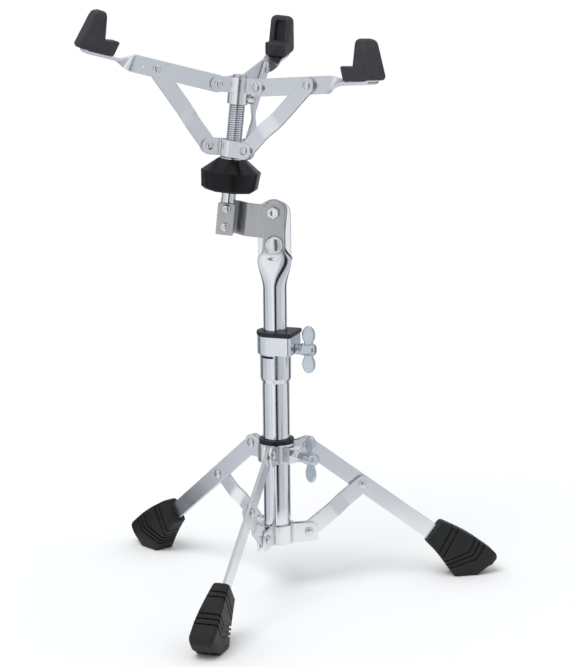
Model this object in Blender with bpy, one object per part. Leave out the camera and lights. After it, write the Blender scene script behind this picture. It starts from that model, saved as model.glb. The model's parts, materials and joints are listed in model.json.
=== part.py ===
"""Snare drum stand: folding tripod, telescoping tube, tilter and three-arm basket.

Metres, +Z up. The drum's hoop rests in three rubber grips. Each leg and each arm is built in
its own vertical plane: x points away from the tube or rod, y across, z up.
"""
import math

import bmesh
import bpy
from mathutils import Matrix, Vector

# Clearances and sheet
GAP = 0.0003
STRIP_T = 0.0030
LEG_W = 0.0160
ARM_W = 0.0160
STRUT_W = 0.0150
EAR_T = 0.0024
HUB_EAR_T = 0.0020
WELD = 0.0003
SIDES = 3
LEG_TURNS = (10.2, 130.2, 250.2)
ROUND = 20
SMALL_ROUND = 12
WRAP_STEPS = 4
SHARP_ANGLE = 35.0

# Tubes
BASE_R = 0.0127
BASE_WALL = 0.0012
UPPER_R = 0.0111
UPPER_WALL = 0.0012
SOCKET_R = 0.0145
SOCKET_WALL = 0.0012
SOCKET_Z = 0.2050
SOCKET_TOP = 0.2462
SOCKET_TAPER = 0.0040
SLIT_Z = 0.2262
SLIT_H = 0.0016
SLIT_W = 0.0120
SLIT_TURN = -124.0
UPPER_FOOT_Z = 0.0950
GUIDE_H = 0.0080
GUIDE_SPIGOT = 0.0150
GUIDE_CHAMFER = 0.0010

# Tripod
FOLD_R = 0.0290
BRACKET_Z = 0.0555
LINK = 0.0678
LEG_ANGLE = 37.5
LEG_OFFSET = 0.0030
BRACE_FOOT_OFFSET = -0.0036
LEG_TIP = 0.1900
JOGGLE_START = 0.0300
JOGGLE_LENGTH = 0.0170
COLLAR_EAR_UP = 0.0080
COLLAR_EAR_DOWN = 0.0125
COLLAR_NOTCH = 0.0028
BRACKET_EAR_UP = 0.0085
BRACKET_EAR_DOWN = 0.0095
BRACKET_EAR_CUT = 0.0040
RAMP_START = 0.0030
EAR_TIP = 0.0085
SLEEVE_WALL = 0.0010
SLEEVE_LIP = 0.0006
TUBE_TAIL = 0.0010
BUSH_WALL = 0.0014
BUSH_FLANGE_R = 0.0166
BUSH_FLANGE_H = 0.0036
RIVET_R = 0.0025
RIVET_HEAD_R = 0.0042
RIVET_HEAD_H = 0.0020
RIVET_CROWN = (0.72, 0.70)

# Rubber feet, measured along the leg from its upper pivot
FOOT_START = 0.1550
FOOT_END = 0.2230
FOOT_SOLE_START = 0.1980
FOOT_TOP_START = 0.0145
FOOT_TOP_END = 0.0195
FOOT_UNDER_START = 0.0110
FOOT_TOE_H = 0.0100
FOOT_HALF_W_START = 0.0078
FOOT_HALF_W_END = 0.0120
FOOT_EDGE = 0.0030
FOOT_SOLE_SHARE = 0.7
FOOT_UNDER_CURVE = 1.4
FOOT_TOP_SPEED = 1.6
FOOT_SIDE_SPEED = 1.5
FOOT_RUNGS = 9

# Wing bolts and wing nut
BOLT_R = 0.0030
BOSS_R = 0.0058
BOSS_L = 0.0196
BOSS_CHAMFER = 0.0010
WING_T = 0.0038
WING_X = 0.0124
WING_HALF_W = 0.0063
WING_LOBE_Z = 0.0138
WING_LOBE_H = 0.0085
WING_WAIST = 0.0052
WING_LOBE_FIRST = -48.0
WING_LOBE_SWEEP = 276.0
LOBE_STEPS = 10
BLOCK_HALF_W = 0.0070
BLOCK_FACE = 0.0255
LEG_BOLT_SEAT = 0.0355
LEG_BOLT_DROP = 0.0030

# Height clamp
CLAMP_TURN = -20.0
CLAMP_Z = 0.2374
CLAMP_H = 0.0172
CLAMP_BOLT_DROP = 0.0042
CLAMP_T = 0.0022
CLAMP_FACE = 0.0200
CLAMP_CORNER = 0.0024
BUSHING_FLANGE_H = 0.0036
BUSHING_DEPTH = 0.0240
FLANGE_OVERHANG = 0.0008

# Fork and tilter, in the fork's frame: x towards the rod, y towards the bolt heads
FORK_TURN = 172.4
PIVOT_Z = 0.3606
FORK_FLARE_Z = 0.2900
FORK_MOUTH_Z = 0.3165
FORK_HALF_W = 0.0158
FORK_WALL_T = 0.0022
FORK_FRONT_T = 0.0024
FORK_TOP = 0.0102
FORK_CORNER = 0.0120
FORK_SQUARENESS = 0.55
FORK_STATIONS = (0.0, 0.3, 0.55, 0.8, 1.0)
STRAP_W = 0.0196
STRAP_TAIL = 0.0030
TILT = 6.2
SLOT_R = 0.0300
SLOT_HALF_ANGLE = 7.0
TILTER_T = 0.0030
TILTER_NOSE_R = 0.0120
TILTER_NOSE_STATIONS = (-0.98, -0.85, -0.6, -0.3, 0.0, 0.3)
TILTER_LOBE_WALL = 0.0060
TILTER_LOBE_EDGE = 0.0072
TILTER_TOP = 0.0058
TILTER_BOTTOM = 0.0250
TILTER_BEND = 0.0245
PIVOT_BOLT_R = 0.0030
HEX_FLATS = 0.0098
HEX_H = 0.0040
NUT_H = 0.0050
DOME_R = 0.0086
DOME_H = 0.0046
DOME_CURVE = ((1.0, 0.15), (0.86, 0.58), (0.55, 0.88))
LOCK_WING_TURN = -40.0

# Rod, its clamp and the knob, in the tilter's frame: z along the rod from the tilter's pivot
ROD_OFFSET = 0.0430
ROD_R = 0.0066
THREAD_R = 0.0073
ROD_FOOT = 0.0250
THREAD_FOOT = 0.0170
ROD_END_SPARE = 0.0090
ROD_CHAMFER = 0.0010
CLAMP_PLATE_W = 0.0160
CLAMP_PLATE_T = 0.0026
CLAMP_PLATE_TOP = 0.0045
CLAMP_PLATE_BOTTOM = 0.0250
SCREW_R = 0.0020
SCREW_HEAD_R = 0.0042
SCREW_HEAD_H = 0.0022
SCREW_CURVE = ((0.88, 0.55), (0.5, 0.92))
SCREW_SPACING = 0.0170
SCREW_MIDDLE = -0.0090
SCREW_TAIL = 0.0010
KNOB_R = 0.0282
KNOB_SIDES = 8
KNOB_TURN = -34.5
KNOB_FOOT = 0.0155
KNOB_SHOULDER_H = 0.0182
KNOB_H = 0.0293
KNOB_TOP_R = 0.0138
KNOB_EDGE = 0.0028
KNOB_EDGE_SLOPE = 0.6
WASHER_R = 0.0118
WASHER_T = 0.0012

# Basket
ARM_TURNS = (-40.5, 74.0, 200.5)
ARM_R = 0.0216
HUB_SPACING = 0.0574
ARM_ANGLE = 9.5
ARM_LINK = 0.0597
ARM_OFFSET = 0.0017
STRUT_FOOT_OFFSET = -0.0070
STRUT_JOGGLE_START = 0.0230
STRUT_JOGGLE_LENGTH = 0.0220
HUB_EAR_UP = 0.0068
HUB_EAR_DOWN = 0.0070
HUB_EAR_TIP = 0.0075
HUB_COLLAR_R = 0.0095
HUB_COLLAR_DROP = 0.0175
SLIDER_EAR_DOWN = 0.0082
SLIDER_SKIRT = 0.0008
SLIDER_WRAP_SPARE = 0.0008
SET_SCREW_R = 0.0045
SET_SCREW_L = 0.0060
SET_SCREW_TURN = -6.0
SET_SCREW_DROP = 0.0122
BASKET_RIVET_R = 0.0022
BASKET_RIVET_HEAD_R = 0.0038
BASKET_RIVET_HEAD_H = 0.0018
FOLD_SLACK = 0.0009
TWIST_START = 0.0770
TWIST_END = 0.0990
TWIST_STEPS = 7
ARM_BEND = 0.1265
ARM_BEND_R = 0.0040
ARM_TAB = 0.0140
GRIP_SEAT_L = 0.0134
GRIP_WALL = 0.1150
GRIP_WALL_H = 0.0262
GRIP_CROWN_L = 0.0118
GRIP_BACK = 0.1372
GRIP_SEAT_H = 0.0118
GRIP_HALF_W = 0.0101
GRIP_EDGE = 0.0026
GRIP_SIDE_EDGE = 0.0013

# Materials: colour, metallic, roughness
CHROME = ((0.78, 0.80, 0.83), 1.0, 0.12)
PLATED = ((0.70, 0.73, 0.77), 1.0, 0.30)
SATIN = ((0.55, 0.55, 0.57), 1.0, 0.42)
RUBBER = ((0.055, 0.052, 0.058), 0.0, 0.70)
PLASTIC = ((0.012, 0.012, 0.014), 0.0, 0.35)

AXIS_MARK = 0.0100

ALONG_X = Matrix(((0, 0, 1, 0), (1, 0, 0, 0), (0, 1, 0, 0), (0, 0, 0, 1)))
ALONG_Y = Matrix(((0, 1, 0, 0), (0, 0, 1, 0), (1, 0, 0, 0), (0, 0, 0, 1)))

LEG_RISE = LINK * math.sin(math.radians(LEG_ANGLE))
LEG_RUN = LINK * math.cos(math.radians(LEG_ANGLE))
COLLAR_Z = BRACKET_Z + 2 * LEG_RISE
STRIP_PITCH = STRIP_T + GAP
LEG_EAR_OFFSET = STRIP_T / 2 + GAP + EAR_T / 2
HUB_EAR_OFFSET = STRIP_T / 2 + GAP + HUB_EAR_T / 2
SLOT_Z = PIVOT_Z - SLOT_R
FORK_INNER = TILTER_T / 2 + GAP
WASHER_FOOT = KNOB_FOOT + KNOB_H + GAP
SLIDER_FOOT = WASHER_FOOT + WASHER_T + GAP
SLIDER_Z = SLIDER_FOOT + SLIDER_SKIRT + SLIDER_EAR_DOWN
ARM_Z = SLIDER_Z + HUB_SPACING
SET_SCREW_Z = ARM_Z - SET_SCREW_DROP
ROD_TOP = ARM_Z + ROD_END_SPARE
JOINT_X = ARM_R + ARM_LINK * math.cos(math.radians(ARM_ANGLE))
JOINT_Z = ARM_Z + ARM_LINK * math.sin(math.radians(ARM_ANGLE))
STRUT_LINK = math.hypot(JOINT_X - ARM_R, JOINT_Z - SLIDER_Z)
STRUT_ANGLE = math.degrees(math.atan2(JOINT_Z - SLIDER_Z, JOINT_X - ARM_R))


def clear_scene():
    for obj in list(bpy.data.objects):
        bpy.data.objects.remove(obj, do_unlink=True)


def material(name, finish):
    colour, metallic, roughness = finish
    surface = bpy.data.materials.new(name)
    surface.use_nodes = True
    shader = surface.node_tree.nodes["Principled BSDF"]
    shader.inputs["Base Color"].default_value = (*colour, 1.0)
    shader.inputs["Metallic"].default_value = metallic
    shader.inputs["Roughness"].default_value = roughness
    surface.diffuse_color = (*colour, 1.0)
    return surface


def frame(name, parent=None, location=(0, 0, 0), rotation=(0, 0, 0)):
    """An empty that carries one moving body or one leg's plane. Angles are degrees."""
    empty = bpy.data.objects.new(name, None)
    bpy.context.scene.collection.objects.link(empty)
    empty.parent = parent
    empty.location = location
    empty.rotation_euler = [math.radians(angle) for angle in rotation]
    empty.empty_display_size = AXIS_MARK
    return empty


def rounded(bm):
    for face in bm.faces:
        face.smooth = True
    return bm


def to_mesh(name, bm):
    bmesh.ops.recalc_face_normals(bm, faces=bm.faces)
    mesh = bpy.data.meshes.new(name)
    bm.to_mesh(mesh)
    bm.free()
    mesh.set_sharp_from_angle(angle=math.radians(SHARP_ANGLE))
    return mesh


def piece(name, bm, finish, parent, location=(0, 0, 0)):
    obj = bpy.data.objects.new(name, to_mesh(name, bm))
    bpy.context.scene.collection.objects.link(obj)
    obj.data.materials.append(material(name, finish))
    obj.parent = parent
    obj.location = location
    return obj


def guide(obj, bm, operation):
    """A hidden helper shape in the piece's own frame, cut from it or welded to it."""
    name = f"{obj.name}_{operation.lower()}_{len(obj.modifiers)}"
    helper = bpy.data.objects.new(name, to_mesh(name, bm))
    bpy.context.scene.collection.objects.link(helper)
    helper.parent = obj.parent
    helper.location = obj.location
    helper.hide_render = True
    helper.display_type = "WIRE"
    modifier = obj.modifiers.new(name, "BOOLEAN")
    modifier.operation = operation
    modifier.solver = "EXACT"
    modifier.object = helper


def cut(obj, bm):
    guide(obj, bm, "DIFFERENCE")


def weld(obj, bm):
    guide(obj, bm, "UNION")


def circle(radius, count, phase=0.0):
    step = 2 * math.pi / count
    return [(radius * math.cos(phase + step * i), radius * math.sin(phase + step * i)) for i in range(count)]


def arc(centre, radius, start, end, steps):
    """Points on an arc, from start to end degrees, both ends included."""
    points = []
    for i in range(steps + 1):
        turn = math.radians(start + (end - start) * i / steps)
        points.append((centre[0] + radius * math.cos(turn), centre[1] + radius * math.sin(turn)))
    return points


def stitch(bm, first, second):
    if len(first) == 1 and len(second) == 1:
        return
    count = max(len(first), len(second))
    for i in range(count):
        j = (i + 1) % count
        corners = [first[0]] if len(first) == 1 else [first[i], first[j]]
        corners += [second[0]] if len(second) == 1 else [second[j], second[i]]
        bm.faces.new(corners)


def loft(rings, closed=False):
    """Skin a row of rings that have the same number of points."""
    bm = bmesh.new()
    loops = [[bm.verts.new(point) for point in ring] for ring in rings]
    for first, second in zip(loops, loops[1:]):
        stitch(bm, first, second)
    if closed:
        stitch(bm, loops[-1], loops[0])
    else:
        bm.faces.new(loops[0])
        bm.faces.new(loops[-1])
    return bm


def turned(profile, count=ROUND, hollow=False, phase=0.0, axis=None):
    """Turn (radius, height) points about Z. A hollow profile closes on itself."""
    bm = bmesh.new()
    loops = []
    for radius, height in profile:
        points = circle(radius, count, phase) if radius > 0 else [(0.0, 0.0)]
        loops.append([bm.verts.new((x, y, height)) for x, y in points])
    for first, second in zip(loops, loops[1:]):
        stitch(bm, first, second)
    if hollow:
        stitch(bm, loops[-1], loops[0])
    if axis:
        bm.transform(axis)
    return rounded(bm)


def cylinder(radius, low, high, count=SMALL_ROUND, axis=None):
    profile = [(0, low), (radius, low), (radius, high), (0, high)]
    return turned(profile, count, phase=math.pi / count, axis=axis)


def extruded(outline, low, high):
    """Push an outline in the x-z plane along y."""
    return loft([[(x, y, z) for x, z in outline] for y in (low, high)])


def merge(target, source):
    """Put a second shape that doesn't touch the first into the same mesh."""
    mesh = bpy.data.meshes.new("merge")
    source.to_mesh(mesh)
    source.free()
    target.from_mesh(mesh)
    bpy.data.meshes.remove(mesh)
    return target


def cross_holes(points, radius, low, high, count=SMALL_ROUND):
    """Cylinders along y at several (x, z) points, as one cutter."""
    shape = bmesh.new()
    for x, z in points:
        hole = cylinder(radius, low, high, count, ALONG_Y)
        hole.transform(Matrix.Translation((x, 0, z)))
        merge(shape, hole)
    return shape


def strap_ring(centre, across, through, half_width, half_thickness):
    across = Vector(across) * half_width
    through = Vector(through) * half_thickness
    centre = Vector(centre)
    return [centre - across - through, centre + across - through,
            centre + across + through, centre - across + through]


def end_steps(radius):
    """Distance past the pivot and half width, from full width to a round strap's tip."""
    return [(radius * math.sin(math.radians(turn)), radius * math.cos(math.radians(turn)))
            for turn in (0, 28, 52, 70, 84)]


def flat_strap(width, stops):
    """A vertical strap along x with a round end at its first stop; stops are (x, y)."""
    start_x, start_y = stops[0]
    rings = []
    for past, half in reversed(end_steps(width / 2)):
        rings.append(strap_ring((start_x - past, start_y, 0), (0, 0, 1), (0, 1, 0), half, STRIP_T / 2))
    for x, y in stops[1:]:
        rings.append(strap_ring((x, y, 0), (0, 0, 1), (0, 1, 0), width / 2, STRIP_T / 2))
    return rings


def link_strap(width, length, foot_y, head_y, joggle_start, joggle_length):
    """A strap between two pivots, round at both ends, that steps sideways between them."""
    stops = [(0, foot_y), (joggle_start, foot_y), (joggle_start + joggle_length, head_y), (length, head_y)]
    rings = flat_strap(width, stops)
    for past, half in end_steps(width / 2)[1:]:
        rings.append(strap_ring((length + past, head_y, 0), (0, 0, 1), (0, 1, 0), half, STRIP_T / 2))
    return loft(rings)


def rivet(name, parent, location, low, high, radius, head_r, head_h):
    """A round rivet along y whose heads lie outside low and high."""
    low -= GAP
    high += GAP
    crown_r = head_r * RIVET_CROWN[0]
    crown_h = head_h * RIVET_CROWN[1]
    profile = [(0, low - head_h), (crown_r, low - crown_h), (head_r, low), (radius, low),
               (radius, high), (head_r, high), (crown_r, high + crown_h), (0, high + head_h)]
    return piece(name, turned(profile, SMALL_ROUND, axis=ALONG_Y), CHROME, parent, location)


def ear_profile(pivot, tip, up, down, cut_corner):
    """Ear stations from its tip to its pivot: (distance from the axis, lower edge, upper edge)."""
    if cut_corner:
        end = pivot + tip
        return [(end, -down, up - cut_corner), (end - cut_corner, -down, up), (pivot, -down, up)]
    stations = []
    for turn in (78, 55, 30, 0):
        shrink = math.cos(math.radians(turn))
        stations.append((pivot + tip * math.sin(math.radians(turn)), -down * shrink, up * shrink))
    return stations


def wrap_plate(ear, wrap_r, sides, turn, notch, cut_corner):
    """A stamped plate: one ear, a bend round the middle, and the ear on the next arm's near side."""
    first_y, second_y = sides
    pivot, _, up, down, thickness = ear
    near = wrap_r + RAMP_START
    middle = up - notch
    end = ear_profile(*ear[:4], cut_corner)
    path = [(x, first_y, low, high) for x, low, high in end]
    path += [(near, first_y, -down, middle)] if notch and near < pivot else []
    first_angle = math.asin(first_y / wrap_r)
    second_angle = turn + math.asin(second_y / wrap_r)
    for i in range(WRAP_STEPS + 1):
        angle = first_angle + (second_angle - first_angle) * i / WRAP_STEPS
        path.append((wrap_r * math.cos(angle), wrap_r * math.sin(angle), -down, middle))
    far = [(near, -down, middle)] if notch and near < pivot else []
    for x, low, high in far + end[::-1]:
        spot = Matrix.Rotation(turn, 2) @ Vector((x, second_y))
        path.append((spot.x, spot.y, low, high))
    return loft(mitred(path, thickness))


def mitred(path, thickness, closed=False):
    """Rings for a sheet that stands on a plan path of (x, y, lower edge, upper edge)."""
    rings = []
    count = len(path)
    for i, (x, y, low, high) in enumerate(path):
        here = Vector((x, y))
        before = Vector(path[i - 1][:2]) if closed or i > 0 else None
        after = Vector(path[(i + 1) % count][:2]) if closed or i < count - 1 else None
        normals = []
        if before is not None:
            normals.append((here - before).normalized().orthogonal())
        if after is not None:
            normals.append((after - here).normalized().orthogonal())
        normal = sum(normals, Vector((0, 0))).normalized()
        side = normal * (thickness / 2 / normal.dot(normals[0]))
        rings.append([(x - side.x, y - side.y, low), (x - side.x, y - side.y, high),
                      (x + side.x, y + side.y, high), (x + side.x, y + side.y, low)])
    return rings


def spun(bm, turn):
    bm.transform(Matrix.Rotation(math.radians(turn), 4, "Z"))
    return bm


def weld_spider(obj, ear, wrap_r, plane_y, ear_offset, hole_r, clevis_z, turns, notch=0.0, cut_corner=0.0):
    """Weld three stamped plates round a sleeve and drill their ears for the pivots."""
    pivot, _, _, _, thickness = ear
    reach = ear_offset + 2 * thickness
    holes = bmesh.new()
    for i, turn in enumerate(turns):
        gap = (turns[(i + 1) % SIDES] - turn) % 360
        sides = (plane_y + ear_offset, plane_y - ear_offset)
        plate = wrap_plate(ear, wrap_r, sides, math.radians(gap), notch, cut_corner)
        plate.transform(Matrix.Translation((0, 0, clevis_z)))
        weld(obj, spun(plate, turn - turns[0]))
        hole = cross_holes([(pivot, clevis_z)], hole_r, plane_y - reach, plane_y + reach)
        merge(holes, spun(hole, turn - turns[0]))
    cut(obj, holes)


def ring_solid(inner, outer, low, high):
    return turned([(inner, low), (outer, low), (outer, high), (inner, high)], hollow=True)


def wing_outline():
    """Side view of a wing bolt's blade: two tall lobes joined by a waist, along x from the seat."""
    upper = []
    for i in range(LOBE_STEPS + 1):
        turn = math.radians(WING_LOBE_FIRST + WING_LOBE_SWEEP * i / LOBE_STEPS)
        upper.append((WING_X + WING_HALF_W * math.cos(turn), WING_LOBE_Z + WING_LOBE_H * math.sin(turn)))
    lower = [(x, -z) for x, z in reversed(upper)]
    return [(WING_X + WING_WAIST, 0)] + upper + [(WING_X - WING_WAIST, 0)] + lower


def winged(name, parent, location, shank=0.0, bore=0.0):
    """A cast wing bolt along x with its seat at x = 0, or a wing nut when it has a bore."""
    crown = BOSS_R - 2 * BOSS_CHAMFER
    profile = [(0, 0), (BOSS_R, 0), (BOSS_R, BOSS_L - 2 * BOSS_CHAMFER),
               (BOSS_R - BOSS_CHAMFER, BOSS_L - BOSS_CHAMFER / 2), (crown, BOSS_L), (0, BOSS_L)]
    if shank:
        profile = [(0, -shank), (BOLT_R, -shank), (BOLT_R, 0)] + profile[1:]
    obj = piece(name, turned(profile, ROUND, axis=ALONG_X), CHROME, parent, location)
    weld(obj, extruded(wing_outline(), -WING_T / 2, WING_T / 2))
    if bore:
        cut(obj, cylinder(bore, -BOSS_L, BOSS_L / 2, axis=ALONG_X))
    return obj


def build_base_tube(stand):
    inner = BASE_R - BASE_WALL
    socket_inner = SOCKET_R - SOCKET_WALL
    low = BRACKET_Z - BRACKET_EAR_DOWN - TUBE_TAIL
    profile = [(inner, low), (BASE_R, low), (BASE_R, SOCKET_Z - SOCKET_TAPER), (SOCKET_R, SOCKET_Z),
               (SOCKET_R, SOCKET_TOP), (socket_inner, SOCKET_TOP), (socket_inner, SOCKET_Z),
               (inner, SOCKET_Z - SOCKET_TAPER)]
    tube = piece("base_tube", turned(profile, hollow=True), CHROME, stand)
    slit = loft([[(x, y, z) for y, z in rectangle(SLIT_W, SLIT_H, SLIT_Z)]
                 for x in (SOCKET_R / 2, 2 * SOCKET_R)])
    slit.transform(Matrix.Rotation(math.radians(SLIT_TURN), 4, "Z"))
    cut(tube, slit)


def rectangle(width, height, middle):
    return [(-width / 2, middle - height / 2), (width / 2, middle - height / 2),
            (width / 2, middle + height / 2), (-width / 2, middle + height / 2)]


def build_lower_bracket(planes):
    inner = BASE_R + GAP
    outer = inner + SLEEVE_WALL
    sleeve = ring_solid(inner, outer, BRACKET_Z - BRACKET_EAR_DOWN + SLEEVE_LIP,
                        BRACKET_Z + BRACKET_EAR_UP - SLEEVE_LIP)
    bracket = piece("lower_bracket", sleeve, PLATED, planes[0])
    ear = (FOLD_R, EAR_TIP, BRACKET_EAR_UP, BRACKET_EAR_DOWN, EAR_T)
    weld_spider(bracket, ear, outer + EAR_T / 2 - WELD, BRACE_FOOT_OFFSET, LEG_EAR_OFFSET, RIVET_R + GAP,
                BRACKET_Z, LEG_TURNS, cut_corner=BRACKET_EAR_CUT)


def build_leg_collar(carrier):
    """The collar: three plates round a sleeve, with a block and a nut for the wing bolt."""
    bush_inner = BASE_R + GAP
    bush_outer = bush_inner + BUSH_WALL
    inner = bush_outer + GAP
    outer = inner + SLEEVE_WALL
    top = COLLAR_EAR_UP - COLLAR_NOTCH
    sleeve = ring_solid(inner, outer, -COLLAR_EAR_DOWN + SLEEVE_LIP, top - SLEEVE_LIP)
    collar = piece("leg_collar", sleeve, PLATED, carrier)
    ear = (FOLD_R, EAR_TIP, COLLAR_EAR_UP, COLLAR_EAR_DOWN, EAR_T)
    weld_spider(collar, ear, outer + EAR_T / 2 - WELD, LEG_OFFSET, LEG_EAR_OFFSET, RIVET_R + GAP, 0.0,
                LEG_TURNS, COLLAR_NOTCH)
    turn = -180.0 / SIDES
    drop = Matrix.Translation((0, 0, -LEG_BOLT_DROP))
    block_plan = [(inner + SLEEVE_LIP, -BLOCK_HALF_W), (BLOCK_FACE, -BLOCK_HALF_W), (BLOCK_FACE, BLOCK_HALF_W),
                  (inner + SLEEVE_LIP, BLOCK_HALF_W)]
    block_ends = (2 * SLEEVE_LIP - COLLAR_EAR_DOWN, top - 2 * SLEEVE_LIP)
    block = loft([[(x, y, z) for x, y in block_plan] for z in block_ends])
    nut = cylinder(BOSS_R, BLOCK_FACE - EAR_T, LEG_BOLT_SEAT, ROUND, ALONG_X)
    hole = cylinder(BOLT_R + GAP, 0.0, 2 * LEG_BOLT_SEAT, axis=ALONG_X)
    nut.transform(drop)
    hole.transform(drop)
    weld(collar, spun(block, turn))
    weld(collar, spun(nut, turn))
    cut(collar, cylinder(inner, -2 * COLLAR_EAR_DOWN, 2 * COLLAR_EAR_DOWN, ROUND))
    cut(collar, spun(hole, turn))
    bolt_frame = frame("leg_wing_bolt_axis", carrier, (0, 0, -LEG_BOLT_DROP), (0, 0, turn))
    start = LEG_BOLT_SEAT + GAP
    winged("leg_wing_bolt", bolt_frame, (start, 0, 0), shank=start - bush_outer - GAP)
    seat = top + GAP
    profile = [(bush_inner, -COLLAR_EAR_DOWN), (bush_outer, -COLLAR_EAR_DOWN),
               (bush_outer, seat), (BUSH_FLANGE_R, seat),
               (BUSH_FLANGE_R, seat + BUSH_FLANGE_H), (bush_inner, seat + BUSH_FLANGE_H)]
    piece("leg_collar_bush", turned(profile, hollow=True), PLASTIC, carrier)


def leg_stops():
    return [(0, 0), (LEG_TIP, 0)]


def build_leg(number, carrier, shift):
    """A leg strap; its upper pivot lies shift metres up the leg from its carrier's axis."""
    leg = piece(f"leg_{number}", loft(flat_strap(LEG_W, leg_stops())), PLATED, carrier, (-shift, LEG_OFFSET, 0))
    cut(leg, cross_holes([(0, 0), (LINK, 0)], RIVET_R + GAP, -STRIP_T, STRIP_T))


def foot_section(distance):
    """Lower edge, upper edge and half width of a foot at a distance along its leg."""
    share = (distance - FOOT_START) / (FOOT_END - FOOT_START)
    slope = math.radians(LEG_ANGLE)
    floor = (distance * math.sin(slope) - COLLAR_Z) / math.cos(slope)
    sole_floor = (FOOT_SOLE_START * math.sin(slope) - COLLAR_Z) / math.cos(slope)
    before_sole = min(1.0, (distance - FOOT_START) / (FOOT_SOLE_START - FOOT_START))
    under = -FOOT_UNDER_START + (sole_floor + FOOT_UNDER_START) * before_sole ** FOOT_UNDER_CURVE
    low = floor if distance >= FOOT_SOLE_START else under
    top_share = math.sin(math.pi / 2 * min(1.0, share * FOOT_TOP_SPEED))
    high = FOOT_TOP_START + (FOOT_TOP_END - FOOT_TOP_START) * top_share
    half = FOOT_HALF_W_START + (FOOT_HALF_W_END - FOOT_HALF_W_START) * min(1.0, share * FOOT_SIDE_SPEED)
    return low, high, half


def foot_ring(distance, low, high, half):
    edge = FOOT_EDGE
    outline = [(-half, low + edge), (edge - half, low), (half - edge, low), (half, low + edge),
               (half, high - edge), (half - edge, high), (edge - half, high), (-half, high - edge)]
    return [(distance, y, z) for y, z in outline]


def build_foot(number, carrier, shift):
    """A rubber foot: a wedge that grows towards the toe and stands on a flat sole."""
    sole_end = FOOT_SOLE_START + (FOOT_END - FOOT_SOLE_START) * FOOT_SOLE_SHARE
    stops = [FOOT_START + (FOOT_SOLE_START - FOOT_START) * i / (FOOT_RUNGS - 4) for i in range(FOOT_RUNGS - 3)]
    stops += [(FOOT_SOLE_START + sole_end) / 2, sole_end]
    rings = [foot_ring(distance, *foot_section(distance)) for distance in stops]
    low, high, half = foot_section(sole_end)
    toe_low = high - FOOT_TOE_H - FOOT_EDGE
    rings.append(foot_ring(FOOT_END - FOOT_EDGE, toe_low - FOOT_EDGE, high - FOOT_EDGE / 4, half - FOOT_EDGE / 3))
    rings.append(foot_ring(FOOT_END, toe_low, high - FOOT_EDGE, half - FOOT_EDGE))
    foot = piece(f"foot_{number}", loft(rings), RUBBER, carrier, (-shift, LEG_OFFSET, 0))
    pocket = loft([strap_ring((x, 0, 0), (0, 0, 1), (0, 1, 0), LEG_W / 2 + GAP, STRIP_T / 2 + GAP)
                   for x in (FOOT_START - LEG_W, LEG_TIP + GAP)])
    cut(foot, pocket)


def build_brace(number, carrier):
    head_y = LEG_OFFSET - STRIP_PITCH
    shape = link_strap(LEG_W, LINK, BRACE_FOOT_OFFSET, head_y, JOGGLE_START, JOGGLE_LENGTH)
    brace = piece(f"brace_{number}", shape, PLATED, carrier)
    reach = abs(BRACE_FOOT_OFFSET) + abs(head_y) + STRIP_T
    cut(brace, cross_holes([(0, 0), (LINK, 0)], RIVET_R + GAP, -reach, reach))


def leg_rivets(number, bracket_frame, collar_frame, brace_frame):
    ear = LEG_EAR_OFFSET + EAR_T / 2
    size = (RIVET_R, RIVET_HEAD_R, RIVET_HEAD_H)
    rivet(f"bracket_rivet_{number}", bracket_frame, (FOLD_R, 0, BRACKET_Z),
          BRACE_FOOT_OFFSET - ear, BRACE_FOOT_OFFSET + ear, *size)
    rivet(f"collar_rivet_{number}", collar_frame, (FOLD_R, 0, 0), LEG_OFFSET - ear, LEG_OFFSET + ear, *size)
    rivet(f"brace_rivet_{number}", brace_frame, (LINK, 0, 0),
          LEG_OFFSET - STRIP_PITCH - STRIP_T / 2, LEG_OFFSET + STRIP_T / 2, *size)


def build_tripod(stand):
    """The collar hangs on leg 1 and carries the other legs, so every pivot stays closed."""
    planes = [frame(f"leg_plane_{i + 1}", stand, rotation=(0, 0, turn)) for i, turn in enumerate(LEG_TURNS)]
    build_lower_bracket(planes)
    pivot = frame("leg_collar_axis", planes[0], (FOLD_R, 0, COLLAR_Z))
    collar = frame("leg_collar_middle", pivot, (-FOLD_R, 0, 0))
    build_leg_collar(collar)
    for i, plane in enumerate(planes):
        number = i + 1
        brace_frame = frame(f"brace_{number}_axis", plane, (FOLD_R, 0, BRACKET_Z), (0, -LEG_ANGLE, 0))
        build_brace(number, brace_frame)
        if i == 0:
            spot = (FOLD_R + LEG_RUN, 0, BRACKET_Z + LEG_RISE)
            leg_frame = frame(f"leg_{number}_axis", plane, spot, (0, LEG_ANGLE, 0))
            shift = LINK
        else:
            leg_frame = frame(f"leg_{number}_axis", plane, (FOLD_R, 0, COLLAR_Z), (0, LEG_ANGLE, 0))
            shift = 0.0
        build_leg(number, leg_frame, shift)
        build_foot(number, leg_frame, shift)
        ear_frame = frame(f"collar_ear_{number}", collar, rotation=(0, 0, LEG_TURNS[i] - LEG_TURNS[0]))
        leg_rivets(number, plane, ear_frame, brace_frame)


def d_outline(radius, face, steps):
    """A half circle closed by a square end, whose face lies across the wing bolt."""
    plan = arc((0, 0), radius, 90, 270, steps)
    plan += arc((face - CLAMP_CORNER, -radius + CLAMP_CORNER), CLAMP_CORNER, -90, 0, 3)
    plan += arc((face - CLAMP_CORNER, radius - CLAMP_CORNER), CLAMP_CORNER, 0, 90, 3)
    return plan


def clamp_path():
    plan = d_outline(SOCKET_R + GAP + CLAMP_T / 2, CLAMP_FACE - CLAMP_T / 2, 12)
    return [(x, y, CLAMP_Z - CLAMP_H / 2, CLAMP_Z + CLAMP_H / 2) for x, y in plan]


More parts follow.
